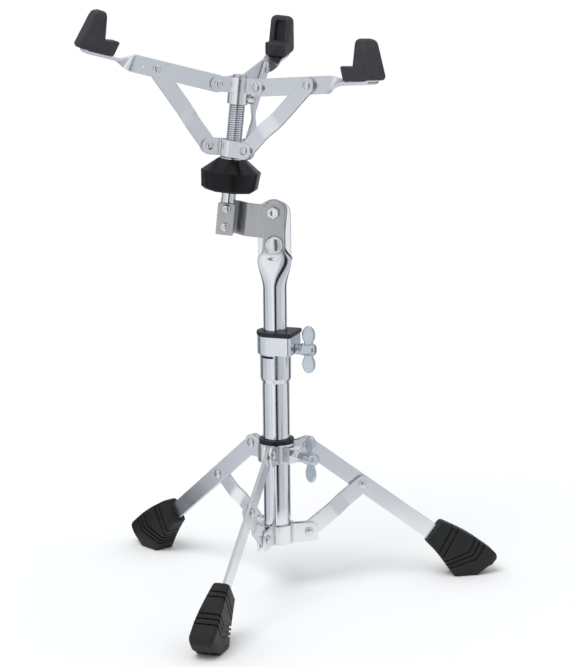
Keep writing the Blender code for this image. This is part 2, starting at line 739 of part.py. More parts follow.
def build_height_clamp(clamp_frame):
    band = loft(mitred(clamp_path(), CLAMP_T, closed=True), closed=True)
    clamp = piece("height_clamp", band, CHROME, clamp_frame)
    hole = cylinder(BOLT_R + GAP, 0, 2 * CLAMP_FACE, axis=ALONG_X)
    hole.transform(Matrix.Translation((0, 0, CLAMP_Z - CLAMP_BOLT_DROP)))
    cut(clamp, hole)
    bolt_frame = frame("height_wing_bolt_axis", clamp_frame, (0, 0, CLAMP_Z - CLAMP_BOLT_DROP))
    start = CLAMP_FACE + GAP
    winged("height_wing_bolt", bolt_frame, (start, 0, 0), shank=start - SOCKET_R - GAP)


def build_height_bushing(clamp_frame):
    """A nylon liner in the socket, with a flange of the clamp's outline over both."""
    outer = SOCKET_R - SOCKET_WALL - GAP
    inner = UPPER_R + GAP
    low = max(SOCKET_TOP, CLAMP_Z + CLAMP_H / 2) + GAP
    bushing = piece("height_bushing", ring_solid(inner, outer, low - BUSHING_DEPTH, low + BUSHING_FLANGE_H / 2),
                    PLASTIC, clamp_frame)
    plan = d_outline(SOCKET_R + CLAMP_T + FLANGE_OVERHANG, CLAMP_FACE + FLANGE_OVERHANG, 16)
    weld(bushing, loft([[(x, y, z) for x, y in plan] for z in (low, low + BUSHING_FLANGE_H)]))
    cut(bushing, cylinder(inner, low - BUSHING_DEPTH - BASE_R, low + 2 * BUSHING_FLANGE_H, ROUND))


def tube_section(half_w, front, back, height, squareness):
    """One ring of the upper tube; squareness 1 is an ellipse and smaller values are boxier."""
    points = []
    for x, y in circle(1.0, ROUND):
        across = math.copysign(abs(x) ** squareness, x) * half_w
        depth = math.copysign(abs(y) ** squareness, y)
        points.append((across, (front if depth > 0 else back) * depth, height))
    return points


def fork_shape(inset, low, high):
    """The tube from its foot to its flattened mouth, drawn in by inset."""
    front = FORK_INNER + FORK_FRONT_T
    back = FORK_INNER + FORK_WALL_T
    front_inset = FORK_FRONT_T - WELD if inset else 0.0
    back_inset = FORK_WALL_T - WELD if inset else 0.0
    rings = [tube_section(UPPER_R - inset, UPPER_R - inset, UPPER_R - inset, low, 1.0)]
    for share in FORK_STATIONS:
        blend = share * share * (3 - 2 * share)
        half_w = UPPER_R + (FORK_HALF_W - UPPER_R) * blend - inset
        y_front = (UPPER_R - inset) * (1 - blend) + (front - front_inset) * blend
        y_back = (UPPER_R - inset) * (1 - blend) + (back - back_inset) * blend
        height = FORK_FLARE_Z + (FORK_MOUTH_Z - FORK_FLARE_Z) * share
        rings.append(tube_section(half_w, y_front, y_back, height, 1.0 - (1.0 - FORK_SQUARENESS) * blend))
    if high > FORK_MOUTH_Z:
        rings.append([(x, y, high) for x, y, _ in rings[-1]])
    return rounded(loft(rings))


def round_top(half_w, low, high, corner):
    """Outline of a plate with rounded upper corners."""
    outline = [(-half_w, low), (half_w, low)]
    outline += arc((half_w - corner, high - corner), corner, 0, 90, 6)
    outline += arc((corner - half_w, high - corner), corner, 90, 180, 6)
    return outline


def build_upper_tube(carrier):
    """The tube's top is pressed flat: both walls stand up as ears, the front one cut narrower."""
    tube = piece("upper_tube", fork_shape(0.0, UPPER_FOOT_Z, FORK_MOUTH_Z), CHROME, carrier)
    top = PIVOT_Z + FORK_TOP
    cut(tube, fork_shape(UPPER_WALL, UPPER_FOOT_Z - BASE_R, top))
    back = -FORK_INNER - FORK_WALL_T
    front = FORK_INNER + FORK_FRONT_T
    root = FORK_MOUTH_Z - STRAP_TAIL
    weld(tube, extruded(round_top(FORK_HALF_W - WELD, root, top, FORK_CORNER), back + WELD, -FORK_INNER))
    weld(tube, extruded(round_top(STRAP_W / 2, root, top, STRAP_W / 2 - WELD), FORK_INNER, front - WELD))
    for height, hole_r in ((PIVOT_Z, PIVOT_BOLT_R), (SLOT_Z, BOLT_R)):
        cut(tube, cross_holes([(0, height)], hole_r + GAP, -BASE_R, BASE_R))


def build_tube_guide(carrier):
    """A nylon plug at the tube's foot that centres it in the base tube."""
    outer = BASE_R - BASE_WALL - GAP
    spigot = UPPER_R - UPPER_WALL - GAP
    top = UPPER_FOOT_Z - GAP
    profile = [(0, top - GUIDE_H), (outer - GUIDE_CHAMFER, top - GUIDE_H), (outer, top - GUIDE_H + GUIDE_CHAMFER),
               (outer, top), (spigot, top), (spigot, top + GUIDE_SPIGOT), (0, top + GUIDE_SPIGOT)]
    piece("tube_guide", turned(profile), PLASTIC, carrier)


def build_fork_fasteners(carrier):
    """A hex bolt with a nut is the tilter's pivot; a domed bolt with a wing nut locks it."""
    front = FORK_INNER + FORK_FRONT_T + GAP
    back = -FORK_INNER - FORK_WALL_T - GAP
    corner = HEX_FLATS / 2 / math.cos(math.radians(30))
    nut_y = back - NUT_H
    tail = nut_y - GAP
    bolt = cylinder(PIVOT_BOLT_R, tail, front + HEX_H / 2, axis=ALONG_Y)
    pivot = piece("tilter_pivot_bolt", bolt, CHROME, carrier, (0, 0, PIVOT_Z))
    weld(pivot, hexagon(corner, front, front + HEX_H))
    nut = piece("tilter_pivot_nut", hexagon(corner, nut_y, back), CHROME, carrier, (0, 0, PIVOT_Z))
    cut(nut, cylinder(PIVOT_BOLT_R + GAP, tail - NUT_H, back + NUT_H, axis=ALONG_Y))
    end = back - BOSS_L / 2 + 2 * BOSS_CHAMFER
    dome = [(0, end), (BOLT_R, end), (BOLT_R, front), (DOME_R, front)]
    dome += [(DOME_R * across, front + DOME_H * rise) for across, rise in DOME_CURVE]
    dome.append((0, front + DOME_H))
    piece("tilter_lock_bolt", turned(dome, ROUND, axis=ALONG_Y), CHROME, carrier, (0, 0, SLOT_Z))


def hexagon(corner, low, high):
    return turned([(0, low), (corner, low), (corner, high), (0, high)], 6, axis=ALONG_Y)


def build_wing_nut(carrier):
    """The wing nut on the lock bolt, behind the fork, with its lobes turned as photographed."""
    back = -FORK_INNER - FORK_WALL_T - 2 * GAP
    nut_frame = frame("tilter_wing_nut_axis", carrier, (0, back, SLOT_Z), (LOCK_WING_TURN, 0, -90))
    winged("tilter_wing_nut", nut_frame, (0, 0, 0), bore=BOLT_R + GAP)


def tilter_stations():
    """Tilter plate, from its nose behind the pivot to the rod: (x, y, lower edge, upper edge)."""
    lobe_r = SLOT_R + BOLT_R + GAP + TILTER_LOBE_WALL
    nose = TILTER_NOSE_R
    stations = []
    for x in [share * nose for share in TILTER_NOSE_STATIONS] + [TILTER_LOBE_EDGE]:
        stations.append((x, 0.0, -math.sqrt(lobe_r ** 2 - x ** 2), math.sqrt(nose ** 2 - x ** 2)))
    first = stations[0]
    stations[0] = (first[0], 0.0, first[2] + TILTER_T, first[3])
    step = TILTER_LOBE_EDGE + GAP
    stations.append((step, 0.0, -TILTER_BOTTOM, math.sqrt(nose ** 2 - step ** 2)))
    shoulder = max(math.sqrt(max(nose ** 2 - TILTER_TOP ** 2, 0.0)), step + GAP)
    stations.append((shoulder, 0.0, -TILTER_BOTTOM, TILTER_TOP))
    return stations


def rod_seat_y():
    return -(ROD_R + GAP + TILTER_T / 2)


def build_tilter_plate(carrier):
    """A stamped plate that turns between the fork's ears and steps back behind the rod."""
    step = abs(rod_seat_y())
    path = tilter_stations()
    bends = [(TILTER_BEND, 0.0), (TILTER_BEND + step, -step), (ROD_OFFSET + CLAMP_PLATE_W / 2, -step)]
    path += [(x, y, -TILTER_BOTTOM, TILTER_TOP) for x, y in bends]
    plate = piece("tilter_plate", loft(mitred(path, TILTER_T)), SATIN, carrier)
    cut(plate, cross_holes([(0, 0)], PIVOT_BOLT_R + GAP, -TILTER_T, TILTER_T))
    cut(plate, extruded(slot_outline(), -TILTER_T, TILTER_T))
    cut(plate, cross_holes(screw_points(), SCREW_R + GAP, -step - TILTER_T, TILTER_T - step))


def slot_outline():
    """The lock bolt's curved slot, which sets how far the basket tilts."""
    half = BOLT_R + GAP
    rest = -90 - TILT
    first = rest - SLOT_HALF_ANGLE
    last = rest + SLOT_HALF_ANGLE
    start = arc((0, 0), SLOT_R, first, first, 1)[0]
    end = arc((0, 0), SLOT_R, last, last, 1)[0]
    outline = arc((0, 0), SLOT_R + half, first, last, 6)
    outline += arc(end, half, last, last + 180, 6)[1:-1]
    outline += arc((0, 0), SLOT_R - half, last, first, 6)
    outline += arc(start, half, first + 180, first + 360, 6)[1:-1]
    return outline


def screw_points():
    return [(ROD_OFFSET, SCREW_MIDDLE + SCREW_SPACING / 2), (ROD_OFFSET, SCREW_MIDDLE - SCREW_SPACING / 2)]


def build_rod_clamp(carrier):
    """A plate and two screws that hold the rod's foot against the tilter plate."""
    front = ROD_R + GAP
    back = rod_seat_y() - TILTER_T / 2
    middle = front + CLAMP_PLATE_T / 2
    path = [(ROD_OFFSET - CLAMP_PLATE_W / 2, middle, -CLAMP_PLATE_BOTTOM, CLAMP_PLATE_TOP),
            (ROD_OFFSET + CLAMP_PLATE_W / 2, middle, -CLAMP_PLATE_BOTTOM, CLAMP_PLATE_TOP)]
    plate = piece("rod_clamp_plate", loft(mitred(path, CLAMP_PLATE_T)), SATIN, carrier)
    cut(plate, cross_holes(screw_points(), SCREW_R + GAP, 0, front + 2 * CLAMP_PLATE_T))
    seat = front + CLAMP_PLATE_T + GAP
    for number, (x, z) in enumerate(screw_points(), 1):
        profile = [(0, back - SCREW_TAIL), (SCREW_R, back - SCREW_TAIL), (SCREW_R, seat), (SCREW_HEAD_R, seat)]
        profile += [(SCREW_HEAD_R * across, seat + SCREW_HEAD_H * rise) for across, rise in SCREW_CURVE]
        profile.append((0, seat + SCREW_HEAD_H))
        piece(f"rod_screw_{number}", turned(profile, SMALL_ROUND, axis=ALONG_Y), CHROME, carrier, (x, 0, z))


def build_rod(carrier):
    """The basket's rod: plain at its foot, threaded for the knob, through the top hub."""
    profile = [(0, -ROD_FOOT), (ROD_R, -ROD_FOOT), (ROD_R, THREAD_FOOT), (THREAD_R, THREAD_FOOT + ROD_CHAMFER),
               (THREAD_R, ROD_TOP - ROD_CHAMFER), (THREAD_R - ROD_CHAMFER, ROD_TOP), (0, ROD_TOP)]
    rod = piece("basket_rod", turned(profile), CHROME, carrier, (ROD_OFFSET, 0, 0))
    cut(rod, cross_holes([(0, z) for _, z in screw_points()], SCREW_R + GAP, -2 * ROD_R, 2 * ROD_R))


def build_knob(carrier):
    """An eight-sided knob with a sloping top; its height is measured from its own foot."""
    profile = [(0, 0), (KNOB_R - 2 * KNOB_EDGE, 0), (KNOB_R - KNOB_EDGE * KNOB_EDGE_SLOPE, KNOB_EDGE),
               (KNOB_R, KNOB_SHOULDER_H), (KNOB_TOP_R, KNOB_H), (0, KNOB_H)]
    body = turned(profile, KNOB_SIDES, phase=math.radians(KNOB_TURN))
    for face in body.faces:
        face.smooth = False
    knob = piece("knob", body, PLASTIC, carrier)
    cut(knob, cylinder(THREAD_R + GAP, -KNOB_H, 2 * KNOB_H, ROUND))


def build_washer(carrier):
    """A flat ring between the knob's top and the slider's foot."""
    low = WASHER_FOOT - SLIDER_Z
    piece("slider_washer", ring_solid(THREAD_R + GAP, WASHER_R, low, low + WASHER_T), CHROME, carrier)


def build_slider(carrier):
    """The lower hub: it slides on the rod, stands on its washer and carries the struts' feet."""
    inner = THREAD_R + GAP
    wrap_r = abs(STRUT_FOOT_OFFSET) + HUB_EAR_OFFSET + SLIDER_WRAP_SPARE
    outer = wrap_r - HUB_EAR_T / 2 + WELD
    low = SLIDER_FOOT - SLIDER_Z
    slider = piece("slider", ring_solid(inner, outer, low, HUB_EAR_UP - SLEEVE_LIP), PLATED, carrier)
    ear = (ARM_R, HUB_EAR_TIP, HUB_EAR_UP, SLIDER_EAR_DOWN, HUB_EAR_T)
    weld_spider(slider, ear, wrap_r, STRUT_FOOT_OFFSET, HUB_EAR_OFFSET, BASKET_RIVET_R + GAP, 0.0, ARM_TURNS)


def build_top_hub(carrier, rod_frame):
    """The upper hub: a collar fixed near the rod's top by a set screw, with the arms' ears."""
    inner = THREAD_R + GAP
    sleeve = ring_solid(inner, HUB_COLLAR_R, ARM_Z - HUB_COLLAR_DROP, ARM_Z + HUB_EAR_UP - SLEEVE_LIP)
    hub = piece("top_hub", sleeve, PLATED, carrier)
    wrap_r = HUB_COLLAR_R + HUB_EAR_T / 2 - WELD
    ear = (ARM_R, HUB_EAR_TIP, HUB_EAR_UP, HUB_EAR_DOWN, HUB_EAR_T)
    weld_spider(hub, ear, wrap_r, ARM_OFFSET, HUB_EAR_OFFSET, BASKET_RIVET_R + GAP, ARM_Z, ARM_TURNS)
    hole = cylinder(BOLT_R + GAP, THREAD_R / 2, 2 * HUB_COLLAR_R, axis=ALONG_X)
    hole.transform(Matrix.Translation((0, 0, SET_SCREW_Z)))
    cut(hub, spun(hole, SET_SCREW_TURN - ARM_TURNS[0]))
    screw_frame = frame("hub_set_screw_axis", rod_frame, (0, 0, SET_SCREW_Z), (0, 0, SET_SCREW_TURN))
    seat = HUB_COLLAR_R + GAP
    profile = [(0, inner), (BOLT_R, inner), (BOLT_R, seat),
               (SET_SCREW_R, seat), (SET_SCREW_R, seat + SET_SCREW_L),
               (0, seat + SET_SCREW_L)]
    piece("hub_set_screw", turned(profile, ROUND, axis=ALONG_X), CHROME, screw_frame)


def arm_rings():
    """A strap that stands on edge at the hub, twists flat past the strut and turns up at its tip."""
    half = ARM_W / 2
    thin = STRIP_T / 2
    rings = flat_strap(ARM_W, [(0, 0), (TWIST_START, 0)])
    for i in range(1, TWIST_STEPS + 1):
        share = i / TWIST_STEPS
        x = TWIST_START + (TWIST_END - TWIST_START) * share
        turn = math.pi / 2 * share
        across = (0, math.sin(turn), math.cos(turn))
        through = (0, math.cos(turn), -math.sin(turn))
        rings.append(strap_ring((x, 0, 0), across, through, half, thin))
    for turn in (0, 30, 60, 90):
        angle = math.radians(turn)
        spot = (ARM_BEND + ARM_BEND_R * math.sin(angle), 0, ARM_BEND_R * (1 - math.cos(angle)))
        rings.append(strap_ring(spot, (0, 1, 0), (math.sin(angle), 0, -math.cos(angle)), half, thin))
    rings.append(strap_ring((ARM_BEND + ARM_BEND_R, 0, ARM_TAB), (0, 1, 0), (1, 0, 0), half, thin))
    return rings


def build_arm(number, carrier):
    arm = piece(f"basket_arm_{number}", loft(arm_rings()), PLATED, carrier, (0, ARM_OFFSET, 0))
    cut(arm, cross_holes([(0, 0), (ARM_LINK, 0)], BASKET_RIVET_R + GAP, -STRIP_T, STRIP_T))


def grip_outline():
    """Side view of a grip: a seat level with the hoop, a wall along the hoop and a sloping back."""
    low = STRIP_T / 2 + GAP
    lean = math.radians(ARM_ANGLE)
    out = Vector((math.cos(lean), -math.sin(lean)))
    up = Vector((math.sin(lean), math.cos(lean)))
    corner = Vector((GRIP_WALL, low + GRIP_SEAT_H))
    tip = corner - out * GRIP_SEAT_L
    crown = corner + up * GRIP_WALL_H
    edge = GRIP_EDGE
    outline = [(tip.x + edge, low), (GRIP_BACK - edge, low), (GRIP_BACK, low + edge)]
    shoulder = crown + out * GRIP_CROWN_L
    outline += [tuple(shoulder - up * 2 * edge), tuple(shoulder - out * edge - up * edge / 2)]
    outline += [tuple(crown + out * 2 * edge), tuple(crown + out * edge / 2 - up * edge / 2)]
    outline += [tuple(crown - up * 2 * edge), tuple(corner)]
    outline += [tuple(tip + out * edge / 2), tuple(tip - up * edge / 2)]
    return outline


def build_grip(number, carrier):
    """A rubber block whose pocket takes the arm's turned-up tip."""
    outline = grip_outline()
    inset = inset_outline(outline, GRIP_SIDE_EDGE)
    body = loft([[(x, -GRIP_HALF_W, z) for x, z in inset],
                 [(x, GRIP_SIDE_EDGE - GRIP_HALF_W, z) for x, z in outline],
                 [(x, GRIP_HALF_W - GRIP_SIDE_EDGE, z) for x, z in outline],
                 [(x, GRIP_HALF_W, z) for x, z in inset]])
    grip = piece(f"grip_{number}", body, RUBBER, carrier, (0, ARM_OFFSET, 0))
    middle = ARM_BEND + ARM_BEND_R
    half = STRIP_T / 2 + GAP
    side = ARM_W / 2 + GAP
    corner = ARM_BEND_R + STRIP_T
    pocket = [(middle - 2 * ARM_BEND_R, 0), (middle + half, 0), (middle + half, ARM_TAB + GAP),
              (middle - half, ARM_TAB + GAP), (middle - half, corner), (middle - 2 * ARM_BEND_R, corner)]
    cut(grip, extruded(pocket, -side, side))


def inset_outline(outline, distance):
    """The outline drawn in by a distance, corner by corner."""
    points = [Vector(point) for point in outline]
    count = len(points)
    ahead = points[1:] + points[:1]
    area = sum(here.x * after.y - after.x * here.y for here, after in zip(points, ahead))
    sign = 1 if area > 0 else -1
    result = []
    for i, here in enumerate(points):
        before = (here - points[i - 1]).normalized()
        after = (points[(i + 1) % count] - here).normalized()
        first = Vector((-before.y, before.x)) * sign
        second = Vector((-after.y, after.x)) * sign
        bisector = (first + second).normalized()
        result.append(tuple(here + bisector * (distance / max(bisector.dot(first), 0.5))))
    return result


def build_strut(number, carrier):
    """A strut from the slider to its arm, measured back from the arm's rivet."""
    head_y = ARM_OFFSET - STRIP_PITCH
    shape = link_strap(STRUT_W, STRUT_LINK, STRUT_FOOT_OFFSET, head_y, STRUT_JOGGLE_START, STRUT_JOGGLE_LENGTH)
    strut = piece(f"strut_{number}", shape, PLATED, carrier, (-STRUT_LINK, 0, 0))
    reach = abs(STRUT_FOOT_OFFSET) + abs(head_y) + STRIP_T
    cut(strut, cross_holes([(0, 0)], BASKET_RIVET_R + GAP + FOLD_SLACK, -reach, 0))
    cut(strut, cross_holes([(STRUT_LINK, 0)], BASKET_RIVET_R + GAP, -reach, reach))


def basket_rivets(number, hub_frame, slider_frame, arm_frame):
    ear = HUB_EAR_OFFSET + HUB_EAR_T / 2
    size = (BASKET_RIVET_R, BASKET_RIVET_HEAD_R, BASKET_RIVET_HEAD_H)
    rivet(f"hub_rivet_{number}", hub_frame, (ARM_R, 0, ARM_Z), ARM_OFFSET - ear, ARM_OFFSET + ear, *size)
    rivet(f"slider_rivet_{number}", slider_frame, (ARM_R, 0, 0),
          STRUT_FOOT_OFFSET - ear, STRUT_FOOT_OFFSET + ear, *size)
    rivet(f"arm_rivet_{number}", arm_frame, (ARM_LINK, 0, 0),
          ARM_OFFSET - STRIP_PITCH - STRIP_T / 2, ARM_OFFSET + STRIP_T / 2, *size)


def build_basket(tilter):
    rod_frame = frame("rod_axis", tilter, (ROD_OFFSET, 0, 0), (0, 0, -FORK_TURN))
    slider_axis = frame("slider_axis", rod_frame, (0, 0, SLIDER_Z))
    knob_axis = frame("knob_axis", rod_frame, (0, 0, KNOB_FOOT))
    build_knob(knob_axis)
    build_washer(slider_axis)
    for i, turn in enumerate(ARM_TURNS):
        number = i + 1
        plane = frame(f"arm_plane_{number}", rod_frame, rotation=(0, 0, turn))
        slider_plane = frame(f"slider_plane_{number}", slider_axis, rotation=(0, 0, turn))
        if i == 0:
            build_slider(slider_plane)
            build_top_hub(plane, rod_frame)
        arm_frame = frame(f"basket_arm_{number}_axis", plane, (ARM_R, 0, ARM_Z), (0, -ARM_ANGLE, 0))
        build_arm(number, arm_frame)
        build_grip(number, arm_frame)
        strut_frame = frame(f"strut_{number}_axis", plane, (JOINT_X, 0, JOINT_Z), (0, -STRUT_ANGLE, 0))
        build_strut(number, strut_frame)
        basket_rivets(number, plane, slider_plane, arm_frame)


def build_upper(stand):
    clamp_frame = frame("height_clamp_frame", stand, rotation=(0, 0, CLAMP_TURN))
    build_height_clamp(clamp_frame)
    build_height_bushing(clamp_frame)
    lift = frame("tube_guide_axis", stand)
    build_tube_guide(lift)
    fork = frame("upper_tube_axis", lift, rotation=(0, 0, FORK_TURN))
    build_upper_tube(fork)
    build_fork_fasteners(fork)
    build_wing_nut(fork)
    tilter = frame("tilter_axis", fork, (0, 0, PIVOT_Z), (0, -TILT, 0))
    build_tilter_plate(tilter)
    build_rod_clamp(tilter)
    build_rod(tilter)
    build_basket(tilter)


def stand_on_origin(stand):
    """Move the stand so that the middle of its footprint's box lies on the origin, on the floor."""
    bpy.context.view_layer.update()
    low = Vector((math.inf,) * 3)
    high = Vector((-math.inf,) * 3)
    for obj in bpy.data.objects:
        if obj.type != "MESH" or obj.hide_render:
            continue
        for vertex in obj.data.vertices:
            spot = obj.matrix_world @ vertex.co
            low = Vector(map(min, low, spot))
            high = Vector(map(max, high, spot))
    stand.location = (-(low.x + high.x) / 2, -(low.y + high.y) / 2, -low.z)


def main():
    clear_scene()
    stand = frame("stand")
    build_base_tube(stand)
    build_tripod(stand)
    build_upper(stand)
    stand_on_origin(stand)


main()
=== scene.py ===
import json
from math import asin, atan2, copysign, cos, degrees, hypot, pi, radians, sin, sqrt

import bmesh
import bpy
from mathutils import Matrix, Vector


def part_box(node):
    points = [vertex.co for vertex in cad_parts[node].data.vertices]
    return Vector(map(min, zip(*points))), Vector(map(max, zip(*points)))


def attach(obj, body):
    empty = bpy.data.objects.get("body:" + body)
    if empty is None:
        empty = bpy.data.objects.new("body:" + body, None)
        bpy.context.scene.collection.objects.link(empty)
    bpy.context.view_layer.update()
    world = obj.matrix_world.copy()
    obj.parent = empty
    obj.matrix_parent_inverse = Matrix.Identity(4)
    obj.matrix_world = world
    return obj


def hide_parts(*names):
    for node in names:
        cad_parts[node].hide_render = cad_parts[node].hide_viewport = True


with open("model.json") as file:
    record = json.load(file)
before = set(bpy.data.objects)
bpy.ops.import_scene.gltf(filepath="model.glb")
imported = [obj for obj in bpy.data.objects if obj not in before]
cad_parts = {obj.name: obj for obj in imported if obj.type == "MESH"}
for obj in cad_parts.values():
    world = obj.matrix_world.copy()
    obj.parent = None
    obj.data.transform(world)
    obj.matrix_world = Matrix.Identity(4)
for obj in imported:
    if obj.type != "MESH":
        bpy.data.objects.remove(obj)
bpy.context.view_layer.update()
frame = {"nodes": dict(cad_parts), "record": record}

# Sizes in metres, turns in degrees, and some shares and powers of the sizes beside them; rivets as
# (radius, head's radius, head's height), sideways steps of straps as (distance from the pivot, length)

# Strips, ears and edges
GAP = 0.0003
STRIP_T = 0.0030
STRIP_EDGE = 0.0005
SHEET_EDGE = 0.0004
RING_EDGE = 0.0003
TUBE_EDGE = 0.0005
BLOCK_EDGE = 0.0006
LEG_W = 0.0160
ARM_W = 0.0160
STRUT_W = 0.0150
EAR_T = 0.0024
HUB_EAR_T = 0.0020
WELD = 0.0003
LEG_TURNS = (10.2, 130.2, 250.2)
# Tubes
BASE_R = 0.0127
BASE_WALL = 0.0012
UPPER_R = 0.0111
UPPER_WALL = 0.0012
SOCKET_R = 0.0145
SOCKET_WALL = 0.0012
SOCKET_Z = 0.2050
SOCKET_TOP = 0.2462
SOCKET_TAPER = 0.0040
SLIT_Z = 0.2264
SLIT_H = 0.0022
SLIT_W = 0.0120
SLIT_TURN = -124.0
UPPER_FOOT_Z = 0.0950
# Tripod
FOLD_R = 0.0290
BRACKET_Z = 0.0555
LINK = 0.0678
LEG_ANGLE = 37.5
LEG_OFFSET = 0.0030
BRACE_FOOT_OFFSET = -0.0036
LEG_TIP = 0.1900
BRACE_JOGGLE = (0.0300, 0.0170)
COLLAR_EAR_UP = 0.0080
COLLAR_EAR_DOWN = 0.0125
COLLAR_NOTCH = 0.0028
BRACKET_EAR_UP = 0.0085
BRACKET_EAR_DOWN = 0.0095
BRACKET_EAR_CUT = 0.0040
RAMP_START = 0.0030
EAR_TIP = 0.0085
EAR_NICK = 0.0012
SLEEVE_WALL = 0.0010
SLEEVE_LIP = 0.0006
TUBE_TAIL = 0.0010
BUSH_WALL = 0.0014
BUSH_FLANGE_R = 0.0166
BUSH_FLANGE_H = 0.0036
BUSH_EDGE = 0.0008
RIVET = (0.0025, 0.0042, 0.0020)
# Feet
FOOT_START = 0.1550
FOOT_END = 0.2225
FOOT_SOLE_START = 0.1980
FOOT_TOP_START = 0.0145
FOOT_TOP_END = 0.0195
FOOT_UNDER_START = 0.0110
FOOT_TOE_H = 0.0100
FOOT_HALF_W_START = 0.0078
FOOT_HALF_W_END = 0.0118
FOOT_EDGE = 0.0030
FOOT_LIP = 0.4
FOOT_TOE_SHARE = 0.7
FOOT_BELLY = 1.4
FOOT_CROWN = 1.6
FOOT_SPREAD = 1.5
TOE_SOLE_BEND = 0.0060
TOE_BEND = 0.0040
TOE_LIP = 0.0008
GROOVE_W = 0.0016
GROOVE_DEPTH = 0.0014
# Wing bolts
BOLT_R = 0.0030
BOSS_R = 0.0058
BOSS_L = 0.0196
BOSS_EDGE = 0.0008
WING_T = 0.0038
WING_EDGE = 0.0014
WING_X = 0.0124
WING_HALF_W = 0.0063
WING_LOBE_Z = 0.0138
WING_LOBE_H = 0.0085
WING_WAIST = 0.0052
WING_START = -48
WING_SWEEP = 276
WING_FILLET = 0.0030
BLOCK_HALF_W = 0.0070
BLOCK_FACE = 0.0255
BLOCK_CORNER = 0.0008
LEG_BOLT_TURN = -60.0
LEG_BOLT_SEAT = 0.0355
LEG_BOLT_DROP = 0.0030
# Height clamp
CLAMP_TURN = -20.0
CLAMP_Z = 0.2374
CLAMP_H = 0.0172
CLAMP_BOLT_DROP = 0.0042
CLAMP_T = 0.0022
CLAMP_FACE = 0.0200
CLAMP_CORNER = 0.0024
BUSHING_FLANGE_H = 0.0036
BUSHING_DEPTH = 0.0240
BUSHING_EDGE = 0.0007
FLANGE_OVERHANG = 0.0008
# Fork
FORK_TURN = 172.4
PIVOT_Z = 0.3606
FORK_FLARE_Z = 0.2900
FORK_MOUTH_Z = 0.3165
FORK_HALF_W = 0.0158
FORK_WALL_T = 0.0022
FORK_FRONT_T = 0.0024
FORK_TOP = 0.0102
FORK_CORNER = 0.0120
STRAP_W = 0.0196
STRAP_TAIL = 0.0030
NECK_H = 0.0105
DIMPLE_W = 0.0140
DIMPLE_R = 0.0018
EAR_SEAM = 0.0001
EAR_EDGE = 0.0007
MOUTH_SQUARE = 0.45
NECK_SQUARE = 0.35
# Tilter and its fasteners
TILT = 6.2
SLOT_R = 0.0300
SLOT_HALF_ANGLE = 7.0
TILTER_T = 0.0030
TILTER_NOSE_R = 0.0120
TILTER_NOSE_START = 0.985
TILTER_LOBE_WALL = 0.0060
TILTER_LOBE_EDGE = 0.0072
TILTER_TOP = 0.0058
TILTER_BOTTOM = 0.0250
TILTER_BEND = 0.0245
PIVOT_BOLT_R = 0.0030
HEX_FLATS = 0.0098
HEX_H = 0.0040
HEX_EDGE = 0.0006
HEX_CHAMFER = 0.94
NUT_H = 0.0050
DOME_R = 0.0086
DOME_H = 0.0046
DOME_RIM = 0.12
LOCK_BOLT_SPARE = 0.0020
LOCK_WING_TURN = -40.0
# Rod, its clamp plate and the knob
ROD_OFFSET = 0.0430
ROD_R = 0.0066
THREAD_R = 0.0073
THREAD_PITCH = 0.0020
THREAD_DEPTH = 0.0008
THREAD_CREST = 0.0001
ROD_FOOT = 0.0250
THREAD_FOOT = 0.0170
ROD_TOP = 0.1220
ROD_CHAMFER = 0.0010
ROD_FOOT_EDGE = 0.0006
CLAMP_PLATE_W = 0.0160
CLAMP_PLATE_T = 0.0026
CLAMP_PLATE_TOP = 0.0045
CLAMP_PLATE_BOTTOM = 0.0250
CLAMP_PLATE_CORNER = 0.0014
SCREW_R = 0.0020
SCREW_HEAD_R = 0.0042
SCREW_HEAD_H = 0.0022
SCREW_SPACING = 0.0170
SCREW_MIDDLE = -0.0090
SCREW_TAIL = 0.0010
SCREW_RIM = 0.1
SCREW_CURVE = 0.8
CROSS_L = 0.0042
CROSS_W = 0.00084
CROSS_FOOT = 0.35
CROSS_TURN = 20
KNOB_R = 0.0282
KNOB_SIDES = 8
KNOB_TURN = -34.5
KNOB_FOOT = 0.0155
KNOB_SHOULDER_H = 0.0182
KNOB_H = 0.0293
KNOB_TOP_R = 0.0138
KNOB_EDGE = 0.0028
KNOB_BEVEL = 0.0011
KNOB_CREASE = 0.25
WASHER_R = 0.0118
WASHER_T = 0.0012
# Basket
ARM_TURNS = (-40.5, 74.0, 200.5)
ARM_R = 0.0216
ARM_Z = 0.1130
HUB_SPACING = 0.0574
ARM_ANGLE = 9.5
ARM_LINK = 0.0597
ARM_OFFSET = 0.0017
STRUT_FOOT_OFFSET = -0.0070
STRUT_JOGGLE = (0.0230, 0.0220)
HUB_EAR_UP = 0.0068
HUB_EAR_DOWN = 0.0070
HUB_EAR_TIP = 0.0075
HUB_COLLAR_R = 0.0095
HUB_COLLAR_DROP = 0.0175
SLIDER_EAR_DOWN = 0.0082
SLIDER_WRAP_SPARE = 0.0008
SET_SCREW_R = 0.0045
SET_SCREW_L = 0.0060
SET_SCREW_TURN = -6.0
SET_SCREW_Z = 0.1008
SET_SCREW_HEX_R = 0.0019
BASKET_RIVET = (0.0022, 0.0038, 0.0018)
TWIST_START = 0.0770
TWIST_END = 0.0990
TWIST_LEAD = 0.0060
TWIST_EASE = 0.75
ARM_HOLE_R = 0.0010
ARM_HOLE_X = 0.0125
ARM_HOLE_DROP = 0.0010
ARM_BEND = 0.1265
ARM_BEND_R = 0.0040
ARM_TAB = 0.0140
